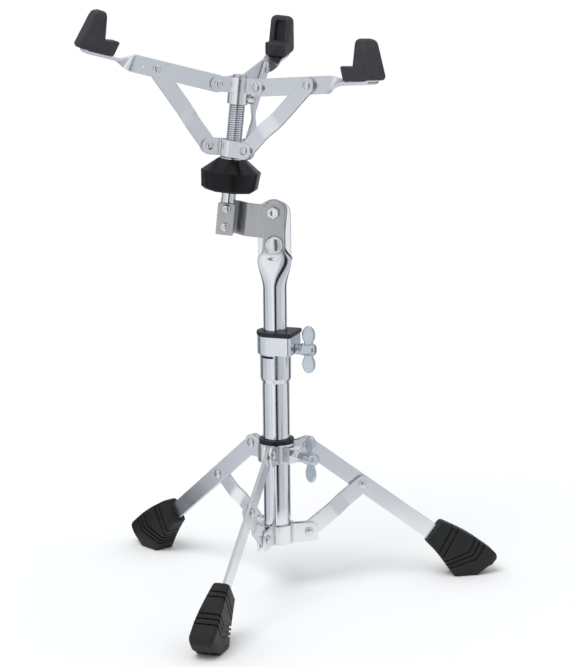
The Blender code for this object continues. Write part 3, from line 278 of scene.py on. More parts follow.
# Grips
GRIP_SEAT_L = 0.0134
GRIP_WALL = 0.1150
GRIP_WALL_H = 0.0262
GRIP_CROWN_L = 0.0118
GRIP_BACK = 0.1372
GRIP_SEAT_H = 0.0118
GRIP_HALF_W = 0.0101
GRIP_EDGE = 0.0026
GRIP_CROWN_R = 0.0062
GRIP_CORNER = 0.0016
GRIP_FACE_EDGE = 0.0013
CROWN_LAP = 0.0004
CROWN_REACH = 0.010
RECESS_HALF_W = 0.0054
RECESS_DEPTH = 0.0062
RECESS_TAPER = 0.0006
RECESS_LEAD = 0.0030

# Grooves of a foot, two at the heel and three at the toe: (distance from its start, height over its strap)
GROOVES = (((0.0110, 0.0190), (0.0118, 0.0120), (0.0153, -0.0118), (0.0160, -0.0200)),
           ((0.0168, 0.0200), (0.0178, 0.0130), (0.0212, -0.0125), (0.0222, -0.0240)),
           ((0.0356, 0.0240), (0.0389, 0.0052), (0.0255, -0.0159), (0.0190, -0.0260)),
           ((0.0413, 0.0240), (0.0440, 0.0050), (0.0295, -0.0169), (0.0230, -0.0260)),
           ((0.0470, 0.0240), (0.0495, 0.0045), (0.0336, -0.0178), (0.0272, -0.0260)))
# Recess in a grip's wall, seen from inside: (across, height over the seat)
RECESS = ((-RECESS_HALF_W, 0.0012), (RECESS_HALF_W, 0.0012), (RECESS_HALF_W, 0.0190), (0.0038, 0.0218),
          (-0.0038, 0.0218), (-RECESS_HALF_W, 0.0190))
# First corner of the tilter plate's step: (along, across)
BEND_CORNER = ((-0.0012, 0.0), (0.0, -0.0002), (0.0010, -0.0010))
# Dished face of the pivot bolt: (radius, share of the head's height)
HEX_RECESS = ((0, 0.62), (0.0022, 0.62), (0.0030, 0.72), (0.0034, 2), (0, 2))
# Profiles of a wing bolt's boss and a rivet's head: shares of their radius and height
BOSS_SHAPE = ((0, 0), (0.86, 0), (0.86, 0.20), (1, 0.34), (1, 0.80), (0.90, 0.92), (0.62, 0.985), (0, 1))
HEAD_SHAPE = ((1, 0), (1, 0.25), (0.93, 0.52), (0.78, 0.78), (0.55, 0.92), (0.30, 1), (0, 1))

COLLAR_Z = BRACKET_Z + 2 * (LINK * sin(radians(LEG_ANGLE)))
STRIP_PITCH = STRIP_T + GAP
LEG_EAR_OFFSET = STRIP_T / 2 + GAP + EAR_T / 2
HUB_EAR_OFFSET = STRIP_T / 2 + GAP + HUB_EAR_T / 2
SLOT_Z = PIVOT_Z - SLOT_R
FORK_INNER = TILTER_T / 2 + GAP
FORK_FRONT = FORK_INNER + FORK_FRONT_T
FORK_BACK = FORK_INNER + FORK_WALL_T
SLIDER_Z = ARM_Z - HUB_SPACING
LEAN = radians(ARM_ANGLE)
JOINT_X = ARM_R + ARM_LINK * cos(LEAN)
JOINT_Z = ARM_Z + ARM_LINK * sin(LEAN)
STRUT_LINK = hypot(JOINT_X - ARM_R, JOINT_Z - SLIDER_Z)
STRUT_ANGLE = degrees(atan2(JOINT_Z - SLIDER_Z, JOINT_X - ARM_R))

# A grip's ways out and up, seen from its leaning arm (up is the rod's way), and the foot of its wall
GRIP_WAYS = (Vector((cos(LEAN), 0, -sin(LEAN))), Vector((sin(LEAN), 0, cos(LEAN))))
GRIP_FOOT = Vector((GRIP_WALL, 0, STRIP_T / 2 + GAP + GRIP_SEAT_H))

# What lays a shape made along z along x or y
ALONG_X = Matrix(((0, 0, 1, 0), (1, 0, 0, 0), (0, 1, 0, 0), (0, 0, 0, 1)))
ALONG_Y = Matrix(((0, 1, 0, 0), (0, 0, 1, 0), (1, 0, 0, 0), (0, 0, 0, 1)))


def turn_about(axis, turn):
    return Matrix.Rotation(radians(turn), 4, axis)


def shift(x, y, z):
    return Matrix.Translation((x, y, z))


# Places of the moving bodies at rest, from the base tube's middle line
tube_low, tube_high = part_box("base_tube")
STAND = shift((tube_low.x + tube_high.x) / 2, (tube_low.y + tube_high.y) / 2, 0)
LEG_PLANES = [STAND @ turn_about("Z", turn) for turn in LEG_TURNS]
BRACES = [plane @ shift(FOLD_R, 0, BRACKET_Z) @ turn_about("Y", -LEG_ANGLE) for plane in LEG_PLANES]
LEGS = [plane @ shift(FOLD_R, 0, COLLAR_Z) @ turn_about("Y", LEG_ANGLE) for plane in LEG_PLANES]
COLLAR = STAND @ shift(0, 0, COLLAR_Z) @ turn_about("Z", LEG_TURNS[0])
CLAMP = STAND @ turn_about("Z", CLAMP_TURN)
FORK = STAND @ turn_about("Z", FORK_TURN)
TILTER = FORK @ shift(0, 0, PIVOT_Z) @ turn_about("Y", -TILT)
ROD = TILTER @ shift(ROD_OFFSET, 0, 0) @ turn_about("Z", -FORK_TURN)
ARM_PLANES = [ROD @ turn_about("Z", turn) for turn in ARM_TURNS]
ARMS = [plane @ shift(ARM_R, 0, ARM_Z) @ turn_about("Y", -ARM_ANGLE) for plane in ARM_PLANES]
STRUTS = [plane @ shift(JOINT_X, 0, JOINT_Z) @ turn_about("Y", -STRUT_ANGLE) for plane in ARM_PLANES]

BODY_OF = {node: body for body, nodes in frame["record"]["behaviour"]["bodies"].items() for node in nodes}
SLOT_OF = {row["node"]: row["material_slot"] for row in frame["record"]["subparts"]}


# Materials: relief of every grain, scales of noise, and the heights between which the fork turns to satin
GRAIN_DEPTH = 0.0002
GLOSS_FINENESS = 2.7
MOTTLE_SCALE = 90.0
SHEEN_SCALE = 260.0
BRUSHED = (1, 1, 0.08)
CHROME_END = 0.0010
SATIN_START = 0.0100
# A face is a strap's narrow side or an ear's rim where less of its normal than this points across
# The straps' narrow sides get darker metal there as painted shade
STRIP_SIDE = 0.6
# The front ear's rim keeps bright chrome there as a painted highlight
EAR_RIM = 0.93

# Metals: dark and light tone, roughness where smooth and hazy, scales of haze and grain, strength of grain
METALS = {
    "tube_chrome": ((0.72, 0.74, 0.77), (0.79, 0.81, 0.84), 0.09, 0.12, 25, 900, 0.02),
    "hardware_chrome": ((0.66, 0.66, 0.66), (0.76, 0.76, 0.76), 0.15, 0.22, 60, 1400, 0.04),
    "wing_chrome": ((0.52, 0.56, 0.61), (0.62, 0.66, 0.71), 0.18, 0.26, 50, 1100, 0.07),
    "plated_strip": ((0.79, 0.80, 0.82), (0.85, 0.86, 0.88), 0.21, 0.26, 18, 900, 0.02),
    # A darker copy of the strips' plating, painted on their narrow sides as shade
    "shaded_strip_edge": ((0.50, 0.51, 0.53), (0.58, 0.59, 0.61), 0.28, 0.34, 18, 900, 0.03),
    "clamp_chrome": ((0.74, 0.77, 0.80), (0.80, 0.83, 0.86), 0.20, 0.26, 20, 900, 0.02),
    "socket_chrome": ((0.70, 0.72, 0.74), (0.77, 0.79, 0.81), 0.20, 0.25, 25, 900, 0.02),
    # A darker copy of the rod's metal, painted in the thread's roots as shade
    "shaded_thread_root": ((0.54, 0.55, 0.57), (0.61, 0.62, 0.65), 0.20, 0.28, 60, 1400, 0.04),
    "satin_steel": ((0.48, 0.48, 0.49), (0.54, 0.54, 0.55), 0.34, 0.42, 45, 1600, 0.08, BRUSHED),
}
# Rubbers and plastics: dark and light tone, roughness, scale and strength of grain, shine
MOULDINGS = {
    "rubber": ((0.022, 0.020, 0.026), (0.034, 0.031, 0.039), 0.52, 0.64, 1500, 0.18),
    "foot_rubber": ((0.006, 0.007, 0.007), (0.011, 0.012, 0.013), 0.46, 0.58, 1300, 0.20, 0.34),
    "black_nylon": ((0.005, 0.005, 0.006), (0.010, 0.010, 0.012), 0.36, 0.48, 1800, 0.10, 0.38),
    "knob_plastic": ((0.0025, 0.0025, 0.0035), (0.0045, 0.0045, 0.006), 0.30, 0.38, 1200, 0.03, 0.22),
}


def feed(tree, node, inputs):
    """Give a node's inputs their values, or the outputs of other nodes."""
    for name, value in inputs.items():
        if isinstance(value, bpy.types.NodeSocket):
            tree.links.new(value, node.inputs[name])
        else:
            node.inputs[name].default_value = value
    return node


def add_node(tree, kind, inputs=None):
    return feed(tree, tree.nodes.new(f"ShaderNode{kind}"), inputs or {})


def new_material(name, colour, metallic, roughness):
    surface = bpy.data.materials.new(name)
    surface.use_nodes = True
    tree = surface.node_tree
    shader = tree.nodes["Principled BSDF"]
    feed(tree, shader, {"Base Color": (*colour, 1.0), "Metallic": metallic, "Roughness": roughness})
    return surface, tree, shader


def noise(tree, scale, detail=3.0, stretch=(1, 1, 1)):
    place = add_node(tree, "TexCoord").outputs["Object"]
    spot = add_node(tree, "Mapping", {"Vector": place, "Scale": stretch}).outputs["Vector"]
    return add_node(tree, "TexNoise", {"Vector": spot, "Scale": scale, "Detail": detail}).outputs["Fac"]


def ramp(tree, source, low, high, start=0.35, end=0.65):
    inputs = {"Value": source, "From Min": start, "From Max": end, "To Min": low, "To Max": high}
    return add_node(tree, "MapRange", inputs).outputs["Result"]


def tint(tree, source, first, second):
    node = add_node(tree, "ValToRGB", {"Fac": source})
    for element, position, colour in zip(node.color_ramp.elements, (0.3, 0.7), (first, second)):
        element.position = position
        element.color = (*colour, 1)
    return node.outputs["Color"]


def finish_surface(tree, shader, colour, roughness, grain, strength):
    """Colour, gloss and a fine grain that stands out by GRAIN_DEPTH."""
    relief = add_node(tree, "Bump", {"Strength": strength, "Distance": GRAIN_DEPTH, "Height": grain})
    feed(tree, shader, {"Base Color": colour, "Roughness": roughness, "Normal": relief.outputs["Normal"]})


def metal(name, dark, light, smooth, hazy, haze_scale, grain_scale, grain, stretch=(1, 1, 1)):
    """Plated or bare metal with a faint haze in its colour and gloss, and a fine grain."""
    surface, tree, shader = new_material(name, light, 1.0, hazy)
    gloss = ramp(tree, noise(tree, haze_scale * GLOSS_FINENESS, stretch=stretch), smooth, hazy)
    finish_surface(tree, shader, tint(tree, noise(tree, haze_scale, 4.0), dark, light), gloss,
                   noise(tree, grain_scale, 2.0, stretch), grain)
    return surface


def moulded(name, dark, light, smooth, rough, grain_scale, grain, shine=0.5):
    """Rubber or plastic with a moulded grain and slight mottling."""
    surface, tree, shader = new_material(name, light, 0.0, rough)
    feed(tree, shader, {"Specular IOR Level": shine})
    finish_surface(tree, shader, tint(tree, noise(tree, MOTTLE_SCALE, 5.0), dark, light),
                   ramp(tree, noise(tree, SHEEN_SCALE), smooth, rough), noise(tree, grain_scale), grain)
    return surface


def fork_metal():
    """The tube's chrome below the fork's mouth, and the same satin as the tilter plate above it."""
    surface, tree, shader = new_material("fork_strap_look", (0.48, 0.48, 0.50), 1.0, 0.36)
    place = add_node(tree, "TexCoord").outputs["Object"]
    spot = add_node(tree, "SeparateXYZ", {"Vector": place})
    height = ramp(tree, spot.outputs["Z"], 0.0, 1.0, FORK_MOUTH_Z + CHROME_END, FORK_MOUTH_Z + SATIN_START)
    finish_surface(tree, shader, tint(tree, height, (0.76, 0.78, 0.81), (0.50, 0.50, 0.51)),
                   ramp(tree, height, 0.10, 0.34, 0.0, 1.0), noise(tree, 1600, 2.0, BRUSHED), 0.08)
    return surface


MATERIALS = {name: metal(f"{name}_look", *values) for name, values in METALS.items()}
MATERIALS["fork_strap"] = fork_metal()
MATERIALS.update({name: moulded(f"{name}_look", *values) for name, values in MOULDINGS.items()})


# Mesh helpers
def shares(steps):
    return [step / steps for step in range(steps + 1)]


def circle(radius, count, phase=0.0):
    step = 2 * pi / count
    return [(radius * cos(phase + step * i), radius * sin(phase + step * i)) for i in range(count)]


def arc(centre, radius, start, end, steps):
    points = []
    for i in range(steps + 1):
        turn = radians(start + (end - start) * i / steps)
        points.append((centre[0] + radius * cos(turn), centre[1] + radius * sin(turn)))
    return points


def stitch(bm, first, second):
    if len(first) == 1 and len(second) == 1:
        return
    count = max(len(first), len(second))
    for i in range(count):
        j = (i + 1) % count
        corners = [first[0]] if len(first) == 1 else [first[i], first[j]]
        corners += [second[0]] if len(second) == 1 else [second[j], second[i]]
        bm.faces.new(corners)


def loft(rings, closed=False):
    bm = bmesh.new()
    loops = [[bm.verts.new(point) for point in ring] for ring in rings]
    for first, second in zip(loops, loops[1:]):
        stitch(bm, first, second)
    if closed:
        stitch(bm, loops[-1], loops[0])
    else:
        bm.faces.new(loops[0])
        bm.faces.new(loops[-1])
    return bm


def rounded(before, here, after, radius, reach, parts):
    """The curve that rounds a corner, cut off at most a share of each side away."""
    first, last = [here + way.normalized() * min(radius, way.length * reach)
                   for way in (before - here, after - here)]
    return [first * (1 - part) ** 2 + here * (2 * part * (1 - part)) + last * part ** 2 for part in parts]


def round_corners(outline, radius, steps=4, reach=0.45, least_bend=0.1, kept=()):
    """Round the corners of a closed outline, apart from those that are kept or hardly bend."""
    points = [Vector(point) for point in outline]
    result = []
    for i, here in enumerate(points):
        before = points[i - 1]
        after = points[(i + 1) % len(points)]
        if i in kept or pi - (before - here).angle(after - here) < least_bend:
            result.append(tuple(here))
            continue
        cut = min(radius, (before - here).length * reach, (after - here).length * reach)
        result += [tuple(point) for point in rounded(before, here, after, cut, reach, shares(steps))]
    return result


def turned(profile, count=72, hollow=False, phase=0.0, axis=None, edge=0.0):
    """A (radius, height) profile turned round z, with rounded corners off the axis."""
    if edge:
        on_axis = [i for i, (radius, _) in enumerate(profile) if radius <= 0]
        profile = round_corners(profile, edge, 3, 0.42, 0.12, on_axis)
    bm = bmesh.new()
    loops = []
    for radius, height in profile:
        points = circle(radius, count, phase) if radius > 0 else [(0.0, 0.0)]
        loops.append([bm.verts.new((x, y, height)) for x, y in points])
    for first, second in zip(loops, loops[1:]):
        stitch(bm, first, second)
    if hollow:
        stitch(bm, loops[-1], loops[0])
    if axis:
        bm.transform(axis)
    return bm


def rectangle(left, right, low, high):
    return [(left, low), (right, low), (right, high), (left, high)]


def prism(outline, low, high):
    """An outline in the x-z plane pushed along y."""
    return loft([[(x, y, z) for x, z in outline] for y in (low, high)])


def cylinder(radius, low, high, count=48, axis=None):
    return turned([(0, low), (radius, low), (radius, high), (0, high)], count, axis=axis)


def merge(target, source):
    mesh = bpy.data.meshes.new("merge")
    source.to_mesh(mesh)
    source.free()
    target.from_mesh(mesh)
    bpy.data.meshes.remove(mesh)
    return target


def inset_outline(outline, distance):
    points = [Vector(point) for point in outline]
    nexts = points[1:] + points[:1]
    sign = 1 if sum(here.x * after.y - after.x * here.y for here, after in zip(points, nexts)) > 0 else -1
    result = []
    for before, here, after in zip(points[-1:] + points, points, nexts):
        way_in = (here - before).normalized()
        way_out = (after - here).normalized()
        first = Vector((-way_in.y, way_in.x)) * sign
        second = Vector((-way_out.y, way_out.x)) * sign
        bisector = (first + second).normalized()
        result.append(tuple(here + bisector * (distance / max(bisector.dot(first), 0.5))))
    return result


def plate(outline, low, high, edge=SHEET_EDGE, steps=3):
    """An outline in the x-z plane pushed along y, with rounded edges."""
    rings = []
    for step in range(steps, -1, -1):
        turn = pi / 2 * step / steps
        rings.append((low + edge * (1 - sin(turn)), edge * (1 - cos(turn))))
    rings += [(low + high - y, inset) for y, inset in reversed(rings)]
    return loft([[(x, y, z) for x, z in inset_outline(outline, inset)] for y, inset in rings])


def round_ring(corners, edge):
    """A four-cornered ring with rounded corners."""
    corners = [Vector(corner) for corner in corners]
    ring = []
    for i, here in enumerate(corners):
        ring += rounded(corners[i - 1], here, corners[(i + 1) % 4], edge, 0.4, (0.0, 0.33, 0.67, 1.0))
    return ring


def strap_ring(centre, half_width, across=(0, 0, 1), through=(0, 1, 0), half_thickness=STRIP_T / 2):
    across = Vector(across) * half_width
    through = Vector(through) * half_thickness
    centre = Vector(centre)
    return round_ring([centre - across - through, centre + across - through,
                       centre + across + through, centre - across + through], STRIP_EDGE)


def end_steps(radius):
    return [(radius * sin(radians(turn)), radius * cos(radians(turn)))
            for turn in (0, 10, 20, 30, 40, 50, 60, 68, 75, 81, 86)]


def eased(share):
    return share * share * (3 - 2 * share)


def strap_start(width, y):
    return [strap_ring((-past, y, 0), half) for past, half in reversed(end_steps(width / 2))]


def link_strap(width, length, foot_y, head_y, joggle):
    """A strap between two pivots, round at both ends, that steps sideways between them."""
    start, run = joggle
    rings = strap_start(width, foot_y)
    for share in shares(8):
        spot = (start + run * share, foot_y + (head_y - foot_y) * eased(share), 0)
        rings.append(strap_ring(spot, width / 2))
    rings += [strap_ring((length + past, head_y, 0), half) for past, half in end_steps(width / 2)]
    return loft(rings)


def mitred(path, thickness, closed=False, edge=SHEET_EDGE):
    """Rings of a wall that follows a path of (x, y, low, high) at an even thickness."""
    rings = []
    count = len(path)
    for i, (x, y, low, high) in enumerate(path):
        here = Vector((x, y))
        normals = []
        if closed or i > 0:
            normals.append((here - Vector(path[i - 1][:2])).normalized().orthogonal())
        if closed or i < count - 1:
            normals.append((Vector(path[(i + 1) % count][:2]) - here).normalized().orthogonal())
        normal = sum(normals, Vector((0, 0))).normalized()
        side = normal * (thickness / 2 / normal.dot(normals[0]))
        rings.append(round_ring([(x - side.x, y - side.y, low), (x - side.x, y - side.y, high),
                                 (x + side.x, y + side.y, high), (x + side.x, y + side.y, low)], edge))
    return rings


def spun(bm, turn):
    bm.transform(turn_about("Z", turn))
    return bm


def moved(bm, x, y, z):
    bm.transform(shift(x, y, z))
    return bm


def smooth_faces(obj):
    """Smooth shading whose flat faces stay flat."""
    obj.data.shade_smooth()
    obj.data.set_sharp_from_angle(angle=radians(50))
    even = obj.modifiers.new("even_normals", "WEIGHTED_NORMAL")
    even.keep_sharp = True
    even.weight = 90


def add_object(name, data):
    obj = bpy.data.objects.new(name, data)
    bpy.context.scene.collection.objects.link(obj)
    return obj


def mesh_object(name, bm):
    mesh = bpy.data.meshes.new(name)
    bm.to_mesh(mesh)
    bm.free()
    return add_object(name, mesh)


def boolean(obj, bm, operation="DIFFERENCE"):
    """Cut or join a shape at once and keep only the result."""
    bmesh.ops.recalc_face_normals(bm, faces=bm.faces)
    helper = mesh_object("helper", bm)
    modifier = obj.modifiers.new("step", "BOOLEAN")
    modifier.operation = operation
    modifier.solver = "EXACT"
    modifier.object = helper
    result = bpy.data.meshes.new_from_object(obj.evaluated_get(bpy.context.evaluated_depsgraph_get()))
    obj.modifiers.remove(modifier)
    spent = [obj.data, helper.data]
    obj.data = result
    bpy.data.objects.remove(helper)
    for mesh in spent:
        bpy.data.meshes.remove(mesh)


def build(node, bm, cuts=(), joins=()):
    """The form of one piece, before it is placed and shaded."""
    bmesh.ops.recalc_face_normals(bm, faces=bm.faces)
    obj = mesh_object(f"{node}_form", bm)
    for shape in joins:
        boolean(obj, shape, "UNION")
    for shape in cuts:
        boolean(obj, shape)
    return obj


def dress(obj, node, matrix, look):
    """Place and shade a form, tie it to its body, and hide the piece that it shows."""
    obj.data.transform(matrix)
    obj.data.materials.clear()
    obj.data.materials.append(MATERIALS[look])
    smooth_faces(obj)
    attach(obj, BODY_OF[node])
    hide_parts(node)
    return obj


def show(node, bm, matrix, cuts=(), joins=(), look=None):
    return dress(build(node, bm, cuts, joins), node, matrix, look or SLOT_OF[node])


def paint(obj, look, matrix, chosen):
    """A second look on the faces chosen by their middle and normal before they were placed."""
    obj.data.materials.append(MATERIALS[look])
    inverse = matrix.inverted()
    for face in obj.data.polygons:
        if chosen(inverse @ face.center, inverse.to_3x3() @ face.normal):
            face.material_index = 1


def show_strip(node, bm, matrix):
    """A strap that is flat across y, with darker metal painted on its narrow sides as shade."""
    strip = show(node, bm, matrix)
    paint(strip, "shaded_strip_edge", matrix, lambda spot, normal: abs(normal.y) < STRIP_SIDE)


def domed(shank_r, tail, radius, seat, height, rim, power=1.0):
    """The profile of a shank with a domed head, whose rim takes a share of the head's height."""
    profile = [(0, tail), (shank_r, tail), (shank_r, seat), (radius, seat)]
    for turn in range(0, 90, 10):
        angle = radians(turn)
        profile.append((radius * cos(angle) ** power, seat + height * (rim + (1 - rim) * sin(angle))))
    return profile + [(0, seat + height)]


def rivet(node, matrix, low, high, size):
    """A rivet along y: a low dome with a rolled rim outside each strap."""
    radius, head_r, head_h = size
    low -= GAP
    high += GAP
    back, front = [[(head_r * out, seat + way * head_h * up) for out, up in HEAD_SHAPE]
                   for seat, way in ((low, -1), (high, 1))]
    show(node, turned(back[::-1] + [(radius, low), (radius, high)] + front, 40, axis=ALONG_Y), matrix)


def ear_profile(pivot, tip, up, down, cut_corner):
    """The outer end of an ear as (x, low, high): with one corner cut off, or round."""
    if cut_corner:
        return [(pivot + tip, -down + EAR_NICK, up - cut_corner),
                (pivot + tip - EAR_NICK, -down, up - cut_corner + EAR_NICK),
                (pivot + tip - cut_corner, -down, up), (pivot, -down, up)]
    stations = []
    for turn in (84, 76, 66, 54, 42, 30, 16, 0):
        shrink = cos(radians(turn))
        stations.append((pivot + tip * sin(radians(turn)), -down * shrink, up * shrink))
    return stations


def wrap_plate(ear, wrap_r, sides, turn, notch, cut_corner):
    """A plate from one ear round the sleeve to the next, lower between its ears by a notch."""
    first_y, second_y = sides
    pivot, _, up, down, thickness = ear
    near = wrap_r + RAMP_START
    middle = up - notch
    end = ear_profile(*ear[:4], cut_corner)
    ramp_end = [(near, -down, middle)] if notch and near < pivot else []
    path = [(x, first_y, low, high) for x, low, high in end + ramp_end]
    first_angle = asin(first_y / wrap_r)
    second_angle = turn + asin(second_y / wrap_r)
    steps = 16
    for i in range(steps + 1):
        angle = first_angle + (second_angle - first_angle) * i / steps
        path.append((wrap_r * cos(angle), wrap_r * sin(angle), -down, middle))
    for x, low, high in ramp_end + end[::-1]:
        spot = Matrix.Rotation(turn, 2) @ Vector((x, second_y))
        path.append((spot.x, spot.y, low, high))
    return loft(mitred(path, thickness))


def spider(sleeve, ear, wrap_r, plane_y, ear_offset, clevis_z, turns, notch=0.0, cut_corner=0.0):
    """Three stamped plates round a sleeve."""
    for i, turn in enumerate(turns):
        gap = (turns[(i + 1) % 3] - turn) % 360
        sides = (plane_y + ear_offset, plane_y - ear_offset)
        shape = moved(wrap_plate(ear, wrap_r, sides, radians(gap), notch, cut_corner), 0, 0, clevis_z)
        merge(sleeve, spun(shape, turn - turns[0]))
    return sleeve


def ring_solid(inner, outer, low, high, edge=RING_EDGE):
    return turned(rectangle(inner, outer, low, high), hollow=True, edge=edge)


def wing_outline():
    upper = []
    for i in range(29):
        turn = radians(WING_START + WING_SWEEP * i / 28)
        upper.append((WING_X + WING_HALF_W * cos(turn), WING_LOBE_Z + WING_LOBE_H * sin(turn)))
    lower = [(x, -z) for x, z in reversed(upper)]
    outline = [(WING_X + WING_WAIST, 0)] + upper + [(WING_X - WING_WAIST, 0)] + lower
    return round_corners(outline, WING_FILLET)


def winged(node, matrix, shank=0.0, bore=0.0):
    """A cast wing bolt along x with its seat at x = 0, or a wing nut."""
    profile = [(BOSS_R * out, BOSS_L * up) for out, up in BOSS_SHAPE]
    if shank:
        profile = [(0, -shank), (BOLT_R, -shank), (BOLT_R, 0)] + profile[1:]
    boss = turned(profile, 56, axis=ALONG_X, edge=BOSS_EDGE)
    blade = plate(wing_outline(), -WING_T / 2, WING_T / 2, edge=WING_EDGE, steps=5)
    cuts = [cylinder(bore, -BOSS_L, BOSS_L / 2, axis=ALONG_X)] if bore else []
    show(node, boss, matrix, cuts=cuts, joins=[blade], look="wing_chrome")


# Base tube and tripod
def build_base_tube():
    inner = BASE_R - BASE_WALL
    socket_inner = SOCKET_R - SOCKET_WALL
    flare = SOCKET_Z - SOCKET_TAPER
    low = BRACKET_Z - BRACKET_EAR_DOWN - TUBE_TAIL
    profile = [(inner, low), (BASE_R, low), (BASE_R, flare), (SOCKET_R, SOCKET_Z), (SOCKET_R, SOCKET_TOP),
               (socket_inner, SOCKET_TOP), (socket_inner, SOCKET_Z), (inner, flare)]
    opening = rectangle(-SLIT_W / 2, SLIT_W / 2, SLIT_Z - SLIT_H / 2, SLIT_Z + SLIT_H / 2)
    slit = loft([[(x, y, z) for y, z in opening] for x in (SOCKET_R / 2, SOCKET_R * 1.5)])
    shape = turned(profile, 96, hollow=True, edge=TUBE_EDGE)
    tube = show("base_tube", shape, STAND, cuts=[spun(slit, SLIT_TURN)])
    paint(tube, "socket_chrome", STAND, lambda spot, normal: spot.z > flare)


def build_lower_bracket():
    inner = BASE_R + GAP
    outer = inner + SLEEVE_WALL
    sleeve = ring_solid(inner, outer, BRACKET_Z - BRACKET_EAR_DOWN + SLEEVE_LIP,
                        BRACKET_Z + BRACKET_EAR_UP - SLEEVE_LIP)
    ear = (FOLD_R, EAR_TIP, BRACKET_EAR_UP, BRACKET_EAR_DOWN, EAR_T)
    shape = spider(sleeve, ear, outer + EAR_T / 2 - WELD, BRACE_FOOT_OFFSET, LEG_EAR_OFFSET, BRACKET_Z,
                   LEG_TURNS, cut_corner=BRACKET_EAR_CUT)
    show("lower_bracket", shape, LEG_PLANES[0])


def build_leg_collar():
    bush_inner = BASE_R + GAP
    bush_outer = bush_inner + BUSH_WALL
    inner = bush_outer + GAP
    outer = inner + SLEEVE_WALL
    top = COLLAR_EAR_UP - COLLAR_NOTCH
    sleeve = ring_solid(inner, outer, -COLLAR_EAR_DOWN + SLEEVE_LIP, top - SLEEVE_LIP)
    ear = (FOLD_R, EAR_TIP, COLLAR_EAR_UP, COLLAR_EAR_DOWN, EAR_T)
    shape = spider(sleeve, ear, outer + EAR_T / 2 - WELD, LEG_OFFSET, LEG_EAR_OFFSET, 0.0, LEG_TURNS,
                   COLLAR_NOTCH)
    block = rectangle(outer - SLEEVE_LIP, BLOCK_FACE, 2 * SLEEVE_LIP - COLLAR_EAR_DOWN, top - 2 * SLEEVE_LIP)
    block = plate(round_corners(block, BLOCK_CORNER), -BLOCK_HALF_W, BLOCK_HALF_W, edge=BLOCK_EDGE)
    merge(shape, spun(block, LEG_BOLT_TURN))
    back = BLOCK_FACE - EAR_T
    nut = turned([(0, back), (BOSS_R, back), (BOSS_R, LEG_BOLT_SEAT), (0, LEG_BOLT_SEAT)], 6, axis=ALONG_X,
                 edge=BLOCK_EDGE)
    merge(shape, spun(moved(nut, 0, 0, -LEG_BOLT_DROP), LEG_BOLT_TURN))
    show("leg_collar", shape, COLLAR)
    seat = top + GAP
    rim = seat + BUSH_FLANGE_H
    profile = [(bush_inner, -COLLAR_EAR_DOWN), (bush_outer, -COLLAR_EAR_DOWN), (bush_outer, seat),
               (BUSH_FLANGE_R, seat), (BUSH_FLANGE_R, rim), (bush_inner, rim)]
    show("leg_collar_bush", turned(profile, hollow=True, edge=BUSH_EDGE), COLLAR)
    start = LEG_BOLT_SEAT + GAP
    place = COLLAR @ shift(0, 0, -LEG_BOLT_DROP) @ turn_about("Z", LEG_BOLT_TURN)
    winged("leg_wing_bolt", place @ shift(start, 0, 0), shank=start - bush_outer - GAP)


def floor_under(distance):
    """The floor's height below a leg, measured square to the leg."""
    slope = radians(LEG_ANGLE)
    return (distance * sin(slope) - COLLAR_Z) / cos(slope)


def foot_section(distance, inset):
    """The lower side, upper side and half width of a foot at a distance along its leg."""
    share = (distance - FOOT_START) / (FOOT_END - FOOT_START)
    before_sole = min(1.0, (distance - FOOT_START) / (FOOT_SOLE_START - FOOT_START))
    belly = (floor_under(FOOT_SOLE_START) + FOOT_UNDER_START) * before_sole ** FOOT_BELLY
    low = floor_under(distance) if distance >= FOOT_SOLE_START else -FOOT_UNDER_START + belly
    crown = sin(pi / 2 * min(1.0, share * FOOT_CROWN))
    high = FOOT_TOP_START + (FOOT_TOP_END - FOOT_TOP_START) * crown
    half = FOOT_HALF_W_START + (FOOT_HALF_W_END - FOOT_HALF_W_START) * min(1.0, share * FOOT_SPREAD)
    return low + inset, high - inset, half - inset


def foot_ring(distance, low, high, half):
    edge = min(FOOT_EDGE, half * 0.6, (high - low) * 0.3)
    ring = []
    for x, z, first in ((half - edge, low + edge, -90), (half - edge, high - edge, 0),
                        (edge - half, high - edge, 90), (edge - half, low + edge, 180)):
        ring += [(distance, *point) for point in arc((x, z), edge, first, first + 90, 5)]
    return ring


def along(points, distance):
    """The height of a line of points at a distance."""
    for (x0, z0), (x1, z1) in zip(points, points[1:]):
        if distance <= x1:
            return z0 + (z1 - z0) * (distance - x0) / (x1 - x0)
    return points[-1][1]


def toe_rings(start, inset):
    low, high, half = foot_section(start, inset)
    edge = FOOT_EDGE
    last = FOOT_END - inset
    toe_low = high + inset - FOOT_TOE_H - edge + inset
    lows = bent_line([(start, low), (last - edge, toe_low - edge), (last, toe_low)], TOE_SOLE_BEND)
    highs = bent_line([(start, high), (last - edge, high - edge / 4), (last, high - edge)], TOE_BEND)
    halves = bent_line([(start, half), (last - edge, half - edge / 3), (last, half - edge)], TOE_BEND)
    rings = []
    steps = 12
    for i in range(1, steps + 1):
        distance = start + (last - start) * sin(pi / 2 * i / steps)
        shrink = TOE_LIP if i == steps else 0.0
        rings.append(foot_ring(distance, along(lows, distance) + shrink, along(highs, distance) - shrink,
                               along(halves, distance) - shrink))
    return rings


def bent_line(points, radius):
    """A line of points whose inner corners are rounded."""
    points = [Vector(point) for point in points]
    result = [tuple(points[0])]
    for before, here, after in zip(points, points[1:], points[2:]):
        result += [tuple(point) for point in rounded(before, here, after, radius, 0.45, shares(5))]
    return result + [tuple(points[-1])]


